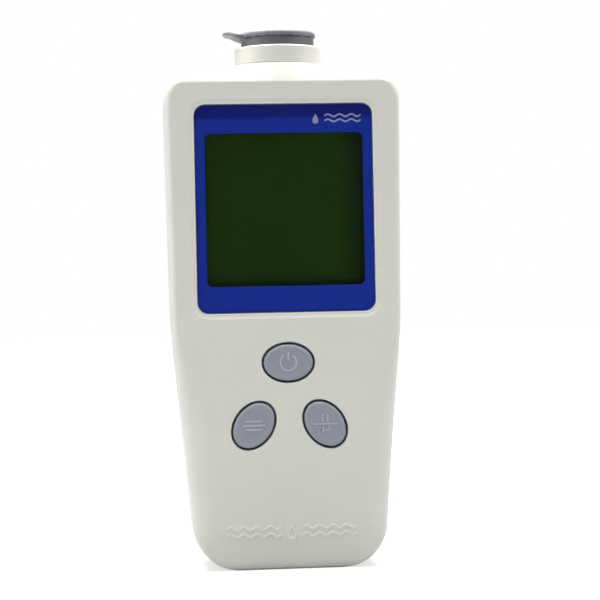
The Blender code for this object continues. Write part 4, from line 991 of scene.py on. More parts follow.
@dataclass(frozen=True)
class Envelope:
    """The housing's outer form, level by level."""

    front: float
    rear: float
    height: float
    port_y: float
    grip_depth: float = 0.0368
    foot_half: float = 0.0327
    waist_z: float = 0.079
    waist_half: float = 0.0381
    head_half: float = 0.0391
    waist_blend: float = 0.008
    foot_corner: float = 0.0155
    head_corner_x: float = 0.0030
    head_corner_z: float = 0.0068
    head_lean: float = 0.0011
    shoulder_rise: float = 0.0061
    seat_step: float = 0.0006
    seat_radius: float = 0.0162
    edge_radius: float = 0.0018
    band_width: float = 0.0100
    band_depth: float = 0.0044
    band_range: tuple[float, float, float] = (0.024, 0.046, 0.084)
    rear_radius: float = 0.0090
    front_fillet: float = 0.0020
    rear_fillet: float = 0.0040
    bulge: Point = (0.066, 0.087)
    foot_rings: int = 6
    side_rings: int = 11
    head_rings: int = 4
    shoulder_rings: int = 5
    shoulder_first: float = 0.07
    shoulder_spacing: float = 1.6
    dome_power: float = 0.42
    dome_front: float = 0.53
    side_run: int = 5

    @property
    def top_edge(self) -> float:
        """Height at which the sides end and the shoulder starts."""
        return self.height - self.seat_step - self.shoulder_rise

    def side(self, z: float) -> float:
        """Half width of the sides before the corners, with the waist blended."""
        def straight(level: float) -> float:
            if level < self.waist_z:
                share = (level - self.foot_corner) / (self.waist_z - self.foot_corner)
                return self.foot_half + (self.waist_half - self.foot_half) * share
            share = (level - self.waist_z) / (self.top_edge - self.head_corner_z - self.waist_z)
            return self.waist_half + (self.head_half - self.waist_half) * share
        return (straight(z - self.waist_blend) + 2 * straight(z) + straight(z + self.waist_blend)) / 4

    def head_share(self, z: float, inset: float) -> float:
        """How far a height is through the rounding at the top, from 0 to 1."""
        rise = z - self.top_edge + self.head_corner_z
        return min(max(rise / (self.head_corner_z - inset), 0.0), 1.0)

    def half_width(self, z: float, inset: float) -> float:
        """Half width at a height, drawn in by a wall."""
        head_start = self.top_edge - self.head_corner_z
        if z < self.foot_corner:
            radius = self.foot_corner - inset
            drop = min(self.foot_corner - z, radius)
            return self.side(self.foot_corner) - self.foot_corner + sqrt(radius ** 2 - drop ** 2)
        if z > head_start:
            return self.side(head_start) - self.head_lean * self.head_share(z, inset) ** 2 - inset
        return self.side(z) - inset

    @staticmethod
    def step(value: float, low: float, high: float) -> float:
        """Eases from 0 to 1 between two values."""
        share = min(max((value - low) / (high - low), 0.0), 1.0)
        return share * share * (3 - 2 * share)

    @staticmethod
    def fillet(height: float, radius: float) -> float:
        """How far a rounded foot edge stands back at a height above the foot."""
        if height >= radius:
            return 0.0
        return radius - sqrt(radius ** 2 - (radius - height) ** 2)

    def rear_at(self, z: float, inset: float) -> float:
        """Depth of the back at a height."""
        grip = self.front + self.grip_depth
        rear = grip + (self.rear - grip) * self.step(z, *self.bulge)
        return rear - inset - self.fillet(max(z - inset, 0.0), self.rear_fillet)

    def section(self, z: float, inset: float, face_inset: float, steps: int, run: int) -> list[Point]:
        """Returns points round the housing at one height.

        Args:
            z: The height.
            inset: How far the sides and back are drawn in.
            face_inset: How far the face is drawn in.
            steps: Points along each corner.
            run: Points along the face and the back.

        Returns:
            The ring, from the front left corner towards +X.
        """
        width = self.half_width(z, inset)
        front = self.front + face_inset + self.fillet(max(z - inset, 0.0), self.front_fillet)
        rear = self.rear_at(z, inset)
        foot, full, top = self.band_range
        band = self.step(z, 0.0, foot) * (1 - self.step(z, full, top))
        corner = self.edge_radius + self.head_corner_x * (1 - sqrt(1 - self.head_share(z, inset) ** 2))
        least = self.edge_radius / 2
        reach = max(corner + (self.band_width - self.edge_radius) * band - inset, least)
        sink = max(corner + (self.band_depth - self.edge_radius) * band - inset, least)
        back = max(self.rear_radius - inset, self.edge_radius)
        corners = (
            (-width + reach, front + sink, reach, sink, 2), (width - reach, front + sink, reach, sink, 3),
            (width - back, rear - back, back, back, 0), (-width + back, rear - back, back, back, 1),
        )
        points: list[Point] = []
        for (x, y, a, b, quarter), following, extra in zip(
                corners, corners[1:] + corners[:1], (run, self.side_run) * 2):
            for index in range(steps + 1):
                turn = (quarter + index / steps) * QUARTER
                points.append((x + a * cos(turn), y + b * sin(turn)))
            next_x, next_y, next_a, next_b, next_quarter = following
            turn = next_quarter * QUARTER
            last = Vector(points[-1])
            nearest = Vector((next_x + next_a * cos(turn), next_y + next_b * sin(turn)))
            points += [tuple(last.lerp(nearest, k / (extra + 1))) for k in range(1, extra + 1)]
        return points

    def levels(self, inset: float, fine: int) -> list[float]:
        """Returns the heights of the rings from the foot to the top edge."""
        start = self.top_edge - self.head_corner_z
        foot, side, head = self.foot_rings * fine, self.side_rings * fine, self.head_rings * fine
        reach = self.foot_corner - inset
        levels = [self.foot_corner - reach * cos(k * QUARTER / foot) for k in range(foot + 1)]
        levels += [self.foot_corner + (start - self.foot_corner) * k / side for k in range(1, side + 1)]
        reach = self.head_corner_z - inset
        return levels + [start + reach * sin(k * QUARTER / head) for k in range(1, head + 1)]

    def shoulder_shares(self, fine: int) -> list[float]:
        """Returns how far across the shoulder each of its rings lies."""
        count = self.shoulder_rings * fine
        return [self.shoulder_first / fine] + [(k / count) ** self.shoulder_spacing
                                               for k in range(2, count + 1)]

    def solid(self, inset: float, face_inset: float, seat: bool, fine: int) -> Solid:
        """Returns the outer form, or the same form drawn in by a wall.

        Args:
            inset: How far the sides and back are drawn in.
            face_inset: How far the face is drawn in.
            seat: Whether the step under the collar is on top.
            fine: How closely the rings lie, 1 or more.

        Returns:
            The closed solid.
        """
        steps, run = 4 * fine, 5 * fine
        flat_rings = [(self.section(z, inset, face_inset, steps, run), z) for z in self.levels(inset, fine)]
        rings = [[Vector((x, y, z)) for x, y in flat] for flat, z in flat_rings]
        edge = rings[-1]
        for share in self.shoulder_shares(fine):
            rings.append([self.on_shoulder(point, share) for point in edge])
        if seat:
            centre = Vector((0.0, self.port_y, self.height))
            shrink = 1 - self.seat_step / 2 / self.seat_radius
            top = [Vector((p.x, p.y, self.height)) for p in rings[-1]]
            rings.append([centre + (p - centre) * shrink for p in top])
        return Solid().loft(rings).triangulated()

    def on_shoulder(self, point: Vector, share: float) -> Vector:
        """Carries a point of the top edge over the shoulder towards the seat."""
        turn = atan2(point.y - self.port_y, point.x)
        seat = Vector((self.seat_radius * cos(turn), self.port_y + self.seat_radius * sin(turn)))
        flat = Vector((point.x, point.y)).lerp(seat, share)
        power = self.dome_power + self.dome_front * max(0.0, -sin(turn)) ** 2
        return Vector((flat.x, flat.y, point.z + self.shoulder_rise * share ** power))

    def seam(self, inset: float, fine: int) -> list[Point]:
        """Returns the outline at the parting plane, from one side of the port to the other."""
        head_z = self.top_edge - inset
        wide = self.half_width(head_z, inset)
        right = [(self.half_width(z, inset), z) for z in self.levels(inset, fine)]
        for share in self.shoulder_shares(fine):
            x = wide + (self.seat_radius - wide) * share
            right.append((x, head_z + self.shoulder_rise * share ** self.dome_power))
        return [(-x, z) for x, z in reversed(right)] + right


WINDOW_CORNER = 0.0037
VIEW_MARGIN = 0.0019
VIEW_LEDGE = 0.0013
VIEW_CORNER = 0.002
DOOR_CORNER = 0.004
SEAL_WIDTH = 0.0010
KEY_AXES = (0.0082, 0.00605)
KEYS = {Body.POWER: ("power", 0.0), Body.MODE: ("mode", 53.0), Body.HOLD: ("hold", 127.0)}


def key_place(body: Body) -> Triple:
    """Returns a key's centre, as x and z, and its turn in degrees."""
    name, turn = KEYS[body]
    x, _, z = centre_of(f"{name}_key")
    return x, z, turn


def view_box() -> Box:
    """Returns the corners of the clear view through the printed frame."""
    return shrunk(node_box("lcd_panel"), VIEW_MARGIN)


@dataclass(frozen=True)
class Screw:
    """One kind of screw, which comes in a numbered row of four."""

    name: str
    body: Body
    radius: float
    length: float
    head: float
    thick: float
    bore: float

    def places(self) -> list[Point]:
        """Returns the XZ centres of the row."""
        return [(x, z) for x, _, z in map(centre_of, numbered(self.name, 4))]

    @property
    def seat(self) -> float:
        """Depth of the face under the heads."""
        return node_box(f"{self.name}_1")[1].y - self.thick

    @property
    def tip(self) -> float:
        """Depth of the end of the hole."""
        return node_box(f"{self.name}_1")[0].y - FIT


SHELL_SCREW = Screw("shell_screw", Body.HOUSING, 0.00125, 0.0160, 0.0024, 0.0018, 0.00155)
BOARD_SCREW = Screw("board_screw", Body.HOUSING, 0.0009, 0.0060, 0.0018, 0.0012, 0.0012)
DOOR_SCREW = Screw("door_screw", Body.DOOR, 0.0011, 0.0070, 0.0021, 0.0012, 0.0014)


@dataclass
class Housing:
    """The two moulded halves with their window opening, key holes, bosses and relief."""

    shop: Workshop
    wall: float = 0.0024
    face_wall: float = 0.0036
    seam: float = 0.0003
    fine: int = 2
    shell_boss: float = 0.0035
    board_boss: float = 0.0024
    room_corner: float = 0.001
    groove: Point = (0.0007, 0.0017)
    groove_depth: float = 0.001
    neck_hole: float = 0.0132
    bezel: float = 0.0019
    bezel_edge: Point = (0.0001, 0.00012)
    bezel_foot: Point = (0.00006, 0.0002)
    key_gap: float = 0.00075
    key_lip: float = 0.00030
    key_lip_knee: float = 0.35
    bay_land: float = 0.0009
    bay_wall: float = 0.0016
    bay_corner: float = 0.0018
    bay_arris: float = 0.0003
    well: float = 0.0027
    well_mouth: float = 0.0033
    well_edge: Point = (0.0004, 0.0002)
    plate: tuple[Point, Point] = ((-0.0185, 0.030), (0.0185, 0.057))
    plate_corner: float = 0.0025
    plate_sink: float = 0.0003
    envelope: Envelope = field(init=False)

    def __post_init__(self) -> None:
        """Reads the housing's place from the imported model."""
        front, rear = node_box("front_shell"), node_box("rear_shell")
        self.port = (0.0, centre_of("connector_collar")[1])
        self.envelope = Envelope(front[0].y, rear[1].y, rear[1].z, self.port[1])
        self.part_y = self.port[1]
        self.face_inner = self.envelope.front + self.face_wall

    def half(self, name: str, low_y: float, high_y: float) -> Object:
        """Returns one half of the hollow housing, cut for its sealing cord and the port's neck."""
        body = self.envelope.solid(0.0, 0.0, True, self.fine).made(name)
        cavity = self.envelope.solid(self.wall, self.face_wall, False, 1).made("cavity")
        combined(body, cavity, Operation.CUT)
        room = rounded((-FAR, -FAR), (FAR, 4 * FAR), self.room_corner, 1)
        combined(body, Solid().slab(room, low_y, high_y).made("room"), Operation.KEEP)
        outer, inner = (self.envelope.seam(inset, 1) for inset in self.groove)
        low, high = self.part_y - self.groove_depth, self.part_y + self.groove_depth
        rings = [[Vector((x, y, z)) for (x, z), y in ((o, low), (o, high), (i, high), (i, low))]
                 for o, i in zip(outer, inner)]
        combined(body, Solid().loft(rings).made("groove"), Operation.CUT)
        ends = [(self.neck_hole, node_box("connector_collar")[0].z),
                (self.neck_hole, self.envelope.height + CUT_PAST)]
        return combined(body, Solid().turned(ends, self.port, 64).made("neck"), Operation.CUT)

    def build_front(self) -> None:
        """Builds the face half."""
        seam_y = self.part_y - self.seam / 2
        half = self.half("front_half", -FAR, seam_y)
        root = self.face_inner - self.face_wall / 2
        board = node_box("main_board")
        posts = Solid()
        for x, z in SHELL_SCREW.places():
            posts.pin(x, z, self.shell_boss, root, seam_y - FIT, 32)
        for x, z in BOARD_SCREW.places():
            posts.pin(x, z, self.board_boss, root, board[0].y - FIT)
        combined(half, posts.made("posts"), Operation.ADD)
        cuts = Solid().loft(self.window_rings())
        for body in KEYS:
            cuts.loft(self.key_rings(body))
        for x, z in SHELL_SCREW.places():
            cuts.pin(x, z, SHELL_SCREW.bore, SHELL_SCREW.tip, self.part_y + CUT_PAST)
        for x, z in BOARD_SCREW.places():
            cuts.pin(x, z, BOARD_SCREW.bore, BOARD_SCREW.tip, board[1].y)
        combined(half, cuts.made("face_cuts"), Operation.CUT)
        self.shop.hand_over(half, Body.HOUSING, "shell_plastic", "front_shell")

    def window_rings(self) -> list[list[Vector]]:
        """Returns the window's opening, from in front of the face to behind its wall."""
        face, window = self.envelope.front, node_box("display_window")
        ledge = node_box("window_tape")[1].y + THIN_FIT
        edge, foot = self.bezel_edge, self.bezel_foot
        rows = ((face - CUT_PAST, self.bezel * 3), (face, self.bezel), (face + edge[0], self.bezel - edge[1]),
                (window[0].y - foot[0], THIN_FIT + foot[1]), (window[0].y, THIN_FIT), (ledge, THIN_FIT))
        behind = ((ledge, VIEW_LEDGE, VIEW_CORNER), (self.face_inner + CUT_PAST / 2, VIEW_LEDGE, VIEW_CORNER))
        return (stations(window, *[(y, grow, WINDOW_CORNER) for y, grow in rows])
                + stations(view_box(), *behind))

    def key_rings(self, body: Body) -> list[list[Vector]]:
        """Returns a key's hole with its rounded lip."""
        x, z, turn = key_place(body)
        long, short = (axis + self.key_gap for axis in KEY_AXES)
        face, lip, knee = self.envelope.front, self.key_lip, self.key_lip * self.key_lip_knee
        rows = ((face - CUT_PAST, lip), (face, lip), (face + knee, knee), (face + lip, 0.0),
                (self.face_inner + CUT_PAST / 2, 0.0))
        return [in_plane(ellipse(x, z, long + grow, short + grow, turn), y) for y, grow in rows]

    def build_rear(self) -> None:
        """Builds the back half with its battery bay, screw wells and plate field."""
        seam_y = self.part_y + self.seam / 2
        half = self.half("rear_half", seam_y, FAR)
        rear = self.envelope.rear
        door = node_box("battery_door")
        floor_y = node_box("cell_1")[0].y - FIT
        outline = grown(door, self.bay_land, DOOR_CORNER)
        block = Solid().slab(outline, floor_y - self.bay_wall, rear - self.wall / 2).made("block")
        combined(half, block, Operation.ADD)
        tubes = Solid()
        for x, z in SHELL_SCREW.places():
            tubes.pin(x, z, self.shell_boss, seam_y + FIT, self.envelope.rear_at(z, 0.0) - self.wall / 2, 32)
        combined(half, tubes.made("tubes"), Operation.ADD)
        combined(half, self.envelope.solid(0.0, 0.0, True, self.fine).made("outside"), Operation.KEEP)
        holes = Solid()
        for x, z in DOOR_SCREW.places():
            holes.pin(x, z, DOOR_SCREW.bore, DOOR_SCREW.tip, rear + CUT_PAST, 20)
        combined(half, holes.made("holes"), Operation.CUT)
        cuts = Solid()
        for x, z in SHELL_SCREW.places():
            cuts.loft(self.well_rings(x, z))
        seat_y = door[0].y - FIT
        bay = shrunk(node_box("door_seal"), self.bay_land + SEAL_WIDTH)
        cuts.loft(stations(bay, (floor_y, 0.0, self.bay_corner), (seat_y, 0.0, self.bay_corner))
                  + stations(door, *[(y, grow, DOOR_CORNER) for y, grow in (
                      (seat_y, FIT), (rear - self.bay_arris, FIT), (rear, FIT + self.bay_arris),
                      (rear + CUT_PAST, FIT + self.bay_arris))]))
        combined(half, cuts.made("rear_cuts"), Operation.CUT)
        grip = self.envelope.front + self.envelope.grip_depth
        plate = rounded(*self.plate, self.plate_corner)
        field_cut = Solid().slab(plate, grip - self.plate_sink, grip + CUT_PAST).made("plate")
        combined(half, field_cut, Operation.CUT)
        self.shop.hand_over(half, Body.HOUSING, "shell_plastic", "rear_shell")

    def well_rings(self, x: float, z: float) -> list[list[Vector]]:
        """Returns one shell screw's bore and the well that its head goes down."""
        outside, seat, bore = self.envelope.rear_at(z, 0.0), SHELL_SCREW.seat - FIT, SHELL_SCREW.bore
        inner, outer = outside - self.well_edge[0], outside + self.well_edge[1]
        return sleeve(x, z, ((self.part_y - CUT_PAST, bore), (seat, bore), (seat, self.well),
                             (inner, self.well), (outer, self.well_mouth),
                             (self.envelope.rear + CUT_PAST, self.well_mouth)))

    def build_fasteners(self) -> None:
        """Builds the three sets of screws."""
        for kind in (SHELL_SCREW, BOARD_SCREW, DOOR_SCREW):
            sizes = {"Shank Radius": kind.radius, "Length": kind.length, "Head Radius": kind.head,
                     "Head Thickness": kind.thick, "Spin": QUARTER}
            points = [Vector((x, kind.seat, z)) for x, z in kind.places()]
            self.shop.row(f"{kind.name}s", "screw", points, kind.body, "steel_screw", sizes,
                          *numbered(kind.name, 4), turns=Vector((-QUARTER, 0.0, 0.0)))

    def build(self) -> None:
        """Builds the whole housing."""
        self.build_front()
        self.build_rear()
        FaceRelief(self.shop, self.envelope.front).build()
        self.build_fasteners()
        self.shop.dress("seal_rubber", "shell_gasket")


@dataclass(frozen=True)
class FaceRelief:
    """The raised ripples and drop near the foot of the face, and the bead round the window."""

    shop: Workshop
    face: float
    root: float = 0.0004
    crown: float = 0.00018
    z: float = 0.0128
    reach: float = 0.0216
    gap: float = 0.0038
    lift: float = 0.0012
    pen: float = 0.00055
    swing: float = 0.00055
    drops: tuple[Point, Point] = ((0.0003, 0.0021), (0.0004, 0.0014))
    bead: Point = (0.00062, 0.00020)
    bead_depths: Point = (0.00026, 0.0007)
    bead_soft: float = 0.0001

    def build(self) -> None:
        """Builds both pieces."""
        # Both pieces are painted lighter than the shell, a painted highlight on their raised edges.
        crown, root = self.face - self.crown, self.face + self.root
        relief = Solid()
        for offset in (self.lift, -self.lift):
            for start in (-self.reach, self.gap):
                line = wave((start, self.z + offset), self.reach - self.gap, self.swing, 4)
                relief.slab(stroke(line, self.pen), crown, root)
        relief.frame(*[droplet(0.0, self.z - drop, radius) for drop, radius in self.drops], crown, root)
        self.shop.hand_over(relief.made("foot_relief"), Body.HOUSING, "relief_plastic")
        window = node_box("display_window")
        outlines = [grown(window, grow, WINDOW_CORNER) for grow in self.bead]
        depths = [self.face + depth for depth in self.bead_depths]
        bead = Solid().frame(*outlines, *depths).made("window_bead")
        self.shop.hand_over(softened(bead, self.bead_soft), Body.HOUSING, "relief_plastic")


@dataclass
class Display:
    """The clear window, its printed frame and label, and the liquid-crystal stack behind."""

    shop: Workshop
    pane_soft: float = 0.00012
    label_lift: float = 0.0048
    label_depths: Point = (-0.00008, 0.00004)
    drop: Triple = (0.0108, -0.0002, 0.0014)
    wave_x: float = 0.0140
    wave_lift: float = 0.00085
    wave_length: float = 0.0118
    wave_swing: float = 0.0004
    pen: float = 0.00055
    glass_share: float = 0.46
    glass_corner: float = 0.0003
    seal_inset: float = 0.0008
    seal_overlap: float = 0.98
    strip_count: int = 64
    strip_share: float = 0.92

    def build_window(self) -> None:
        """Builds the clear window with polished edges."""
        box = node_box("display_window")
        window = Solid().slab(grown(box, 0.0, WINDOW_CORNER), box[0].y, box[1].y).made("window_pane")
        softened(window, self.pane_soft)
        self.shop.hand_over(window, Body.HOUSING, "window_clear", "display_window")

    def build_print(self) -> None:
        """Builds the printed frame, its masking tape and the light label on it."""
        view = view_box()
        for name, node, slot, grow in (("printed_frame", "window_print", "print_blue", 0.0),
                                       ("masking_tape", "window_tape", "tape_black", VIEW_LEDGE)):
            box = node_box(node)
            outlines = grown(box, 0.0, WINDOW_CORNER - THIN_FIT), grown(view, grow, VIEW_CORNER)
            made = Solid().frame(*outlines, box[0].y, box[1].y).made(name)
            self.shop.hand_over(made, Body.HOUSING, slot, node)
        depths = [node_box("window_print")[0].y + depth for depth in self.label_depths]
        z = view[1].z + self.label_lift
        x, drop_lift, radius = self.drop
        label = Solid().slab(droplet(x, z + drop_lift, radius), *depths)
        for offset in (self.wave_lift, -self.wave_lift):
            line = wave((self.wave_x, z + offset), self.wave_length, self.wave_swing, 3)
            label.slab(stroke(line, self.pen), *depths)
        self.shop.hand_over(label.made("window_label"), Body.HOUSING, "print_light")

    def build_stack(self) -> None:
        """Builds the panel's two glasses, its dark edge seal and the striped contact rubbers."""
        low, high = node_box("lcd_panel")
        depth = (high.y - low.y) * self.glass_share
        outline = rounded((low.x, low.z), (high.x, high.z), self.glass_corner, 2)
        glasses = Solid()
        for front in (low.y, high.y - depth):
            glasses.slab(outline, front, front + depth)
        sunk = depth * self.seal_overlap
        seal = grown(shrunk((low, high), self.seal_inset), 0.0, self.glass_corner)
        glasses.slab(seal, low.y + sunk, high.y - sunk)
        self.shop.hand_over(glasses.made("lcd_glasses"), Body.HOUSING, "lcd_glass", "lcd_panel")
        self.shop.dress("holder_plastic", "lcd_holder")
        self.shop.dress("guide_acrylic", "light_guide")
        for place in ("lower", "upper"):
            node = f"contact_strip_{place}"
            low, high = node_box(node)
            pitch = (high.x - low.x) / self.strip_count
            middle = (low + high) / 2
            places = [Vector((low.x + pitch * (i + 0.5), middle.y, middle.z))
                      for i in range(self.strip_count)]
            sizes = {"Width": pitch * self.strip_share, "Depth": high.y - low.y, "Height": high.z - low.z}
            self.shop.row(f"zebra_strip_{place}", "block", places, Body.HOUSING, "strip_rubber", sizes, node)

    def build(self) -> None:
        """Builds the whole display."""
        self.build_window()
        self.build_print()
        self.build_stack()


RING_TURNS = [radians(125 + 290 * k / 30) for k in range(31)]
KEY_MARKS: dict[Body, tuple[tuple[list[Point], float], ...]] = {
    Body.POWER: (
        ([(0.0027 * cos(t), 0.0027 * sin(t)) for t in RING_TURNS], 1.0),
        ([(0.0, 0.0009), (0.0, 0.0034)], 1.0),
    ),
    Body.MODE: tuple(([(-reach, lift), (reach, lift)], 1.0)
                     for lift, reach in ((0.0014, 0.0026), (0.0, 0.0034), (-0.0014, 0.0026))),
    Body.HOLD: (
        ([(-0.0008, 0.0008), (-0.0008, 0.0030)], 1.0),
        ([(0.0008, 0.0008), (0.0008, 0.0030)], 1.0),
        ([(-0.0040, 0.0), (0.0040, 0.0)], 0.8),
        ([(0.0014, -0.0008), (0.0014, -0.0021), (-0.0014, -0.0021)], 1.0),
        ([(-0.0007, -0.0014), (-0.0014, -0.0021), (-0.0007, -0.0028)], 1.0),
    ),
}


@dataclass
class Keypad:
    """Three rubber keys with raised marks, their plungers and switches."""

    shop: Workshop
    lip: float = 0.0019
    edge: float = 0.0011
    edge_depth: float = 0.75
    edge_steps: int = 8
    dish: float = 0.00016
    dish_rings: tuple[Point, ...] = ((2.4, 1.0), (1.75, 0.94), (1.35, 0.45))
    stem: float = 0.002
    mark_width: float = 0.00052
    mark_depth: float = 1.6

    def cap(self, body: Body, node: str) -> Object:
        """Builds one key from its crown to its stem."""
        x, z, turn = key_place(body)
        low, high = node_box(node)
        flange_low, flange_high = (corner.y for corner in node_box("keypad_mat"))
        long, short = KEY_AXES
        rings = [(-self.edge * inset, low.y + self.dish * sink) for inset, sink in self.dish_rings]
        for near, far in quarter_arc(self.edge_steps):
            rings.append((-self.edge * (1 - far), low.y + self.edge * self.edge_depth * (1 - near)))
        rings += [(0.0, flange_low), (self.lip, flange_low), (self.lip, flange_high)]
        levels = [in_plane(ellipse(x, z, long + grow, short + grow, turn, 72), y) for grow, y in rings]
        levels += [in_plane(ellipse(x, z, self.stem, self.stem, turn, 72), y) for y in (flange_high, high.y)]
        return Solid().loft(levels).made(f"{node}_cap")

    def build(self) -> None:
        """Builds the keys and dresses what lies behind them."""
        for body, (name, _) in KEYS.items():
            node = f"{name}_key"
            self.shop.hand_over(self.cap(body, node), body, "key_rubber", node, weighted=False)
            x, z, _ = key_place(body)
            crown = node_box(node)[0].y
            raised = Solid()
            for line, share in KEY_MARKS[body]:
                outline = stroke([(x + a, z + b) for a, b in line], self.mark_width * share)
                raised.slab(outline, crown, crown + self.dish * self.mark_depth)
            # the marks carry a painted highlight, lighter than the key rubber
            self.shop.hand_over(raised.made(f"{name}_mark"), body, "key_mark")
            self.shop.dress("plunger_plastic", f"{name}_plunger")
            self.shop.dress("chip_black", f"{name}_switch")
        self.shop.dress("key_rubber", "keypad_mat")


@dataclass
class ProbePort:
    """The collar, its seal, the socket inside and its contacts."""

    shop: Workshop
    port: Point
    seat_z: float
    collar_radius: float = 0.01465
    mouth_radius: float = 0.01265
    neck_radius: float = 0.0129
    neck_bore: float = 0.0110
    edge: float = 0.0007
    mouth_edge: float = 0.0004
    foot_edge: float = 0.00015
    flange_drop: float = 0.0045
    flange_thick: float = 0.0018
    flange_out: float = 0.0013
    disc_edge: float = 0.0003
    moat: Point = (0.86, 0.84)
    moat_depth: float = 0.0004
    island: Point = (0.0064, 0.0062)
    tube_wall: float = 0.0008
    tube_edge: float = 0.00018
    tube_sink: float = 0.0002
    tube_band: tuple[Point, Point] = ((0.0012, 0.0014), (0.0010, 0.0008))
    keyway: float = 0.0008
    keyway_start: float = 0.001
    keyway_corner: float = 0.0003

    def build_collar(self) -> None:
        """Builds the collar and its neck as one moulding."""
        low, high = node_box("connector_collar")
        top, under = high.z, self.seat_z + FIT
        flange_top = self.seat_z - self.flange_drop
        flange_low = flange_top - self.flange_thick
        neck, foot, mouth = self.neck_radius, self.foot_edge, self.mouth_edge
        profile = [
            (self.neck_bore, low.z), (neck, low.z), (neck, flange_low), (neck + self.flange_out, flange_low),
            (neck + self.flange_out, flange_top), (neck, flange_top), (neck, under),
            (self.collar_radius - foot, under), (self.collar_radius, under + foot)]
        profile += [(self.collar_radius - self.edge * (1 - near), top - self.edge * (1 - far))
                    for near, far in quarter_arc(5)]
        profile += [(self.mouth_radius + mouth * (1 - far), top - mouth * (1 - near))
                    for near, far in quarter_arc(4)]
        profile += [(self.mouth_radius, under), (self.neck_bore, under)]
        collar = Solid().turned(profile, self.port, 128, True).made("port_collar")
        self.shop.hand_over(collar, Body.HOUSING, "shell_plastic", "connector_collar")

    def build_seal(self) -> None:
        """Builds the sealing ring round the neck."""
        low, high = node_box("neck_o_ring")
        wire = (high.z - low.z) / 2
        radius, middle = (high.x - low.x) / 2 - wire, (high.z + low.z) / 2
        loop = [(radius + wire * cos(tau * k / 12), middle + wire * sin(tau * k / 12)) for k in range(12)]
        ring = Solid().turned(loop, self.port, 72, True).made("neck_seal")
        self.shop.hand_over(ring, Body.HOUSING, "seal_rubber", "neck_o_ring", weighted=False)

    def build_disc(self) -> None:
        """Builds the insulator, with a shallow moat between the pins and the metal ring."""
        low, high = node_box("socket_insulator")
        radius, top, edge = (high.x - low.x) / 2, high.z, self.disc_edge
        moat_out, moat_in = (radius * share for share in self.moat)
        island_out, island_in = self.island
        bottom = top - self.moat_depth
        face = [(radius, low.z), (radius, top - edge), (radius - edge, top), (moat_out, top),
                (moat_in, bottom), (island_out, bottom), (island_in, top)]
        disc = Solid().turned(face, self.port, 96).made("socket_base")
        self.shop.hand_over(disc, Body.HOUSING, "insulator_plastic", "socket_insulator")

    def build_ring(self) -> None:
        """Builds the metal ring with its turned band and its keyway."""
        low, high = node_box("socket_shell")
        radius, soft = (high.x - low.x) / 2, self.tube_edge
        inner, sunk = radius - self.tube_wall, radius - self.tube_sink
        (start, start_sunk), (end_sunk, end) = self.tube_band
        tube = [(inner, low.z), (radius, low.z), (radius, low.z + start), (sunk, low.z + start_sunk),
                (sunk, high.z - end_sunk), (radius, high.z - end), (radius, high.z - soft),
                (radius - soft, high.z), (inner + soft, high.z), (inner, high.z - soft)]
        shell = Solid().turned(tube, self.port, 96, True).made("socket_ring")
        outline = rounded((-self.keyway, low.z + self.keyway_start), (self.keyway, high.z + CUT_PAST),
                          self.keyway_corner, 4)
        front = self.port[1] - radius
        key = Solid().slab(outline, front - CUT_PAST, front + self.tube_wall * 2).made("keyway")
        combined(shell, key, Operation.CUT)
        self.shop.hand_over(shell, Body.HOUSING, "plated_metal", "socket_shell")

    def build_pins(self) -> None:
        """Builds the contact pins."""
        nodes = numbered("socket_pin", 3)
        places = [Vector((*centre_of(node)[:2], node_box(node)[0].z)) for node in nodes]
        low, high = node_box(nodes[0])
        sizes = {"Radius": (high.x - low.x) / 2, "Height": high.z - low.z}
        self.shop.row("socket_pins", "pin", places, Body.HOUSING, "gold_pin", sizes, *nodes)

    def build(self) -> None:
        """Builds the whole port."""
        self.build_collar()
        self.build_seal()
        self.build_disc()
        self.build_ring()
        self.build_pins()


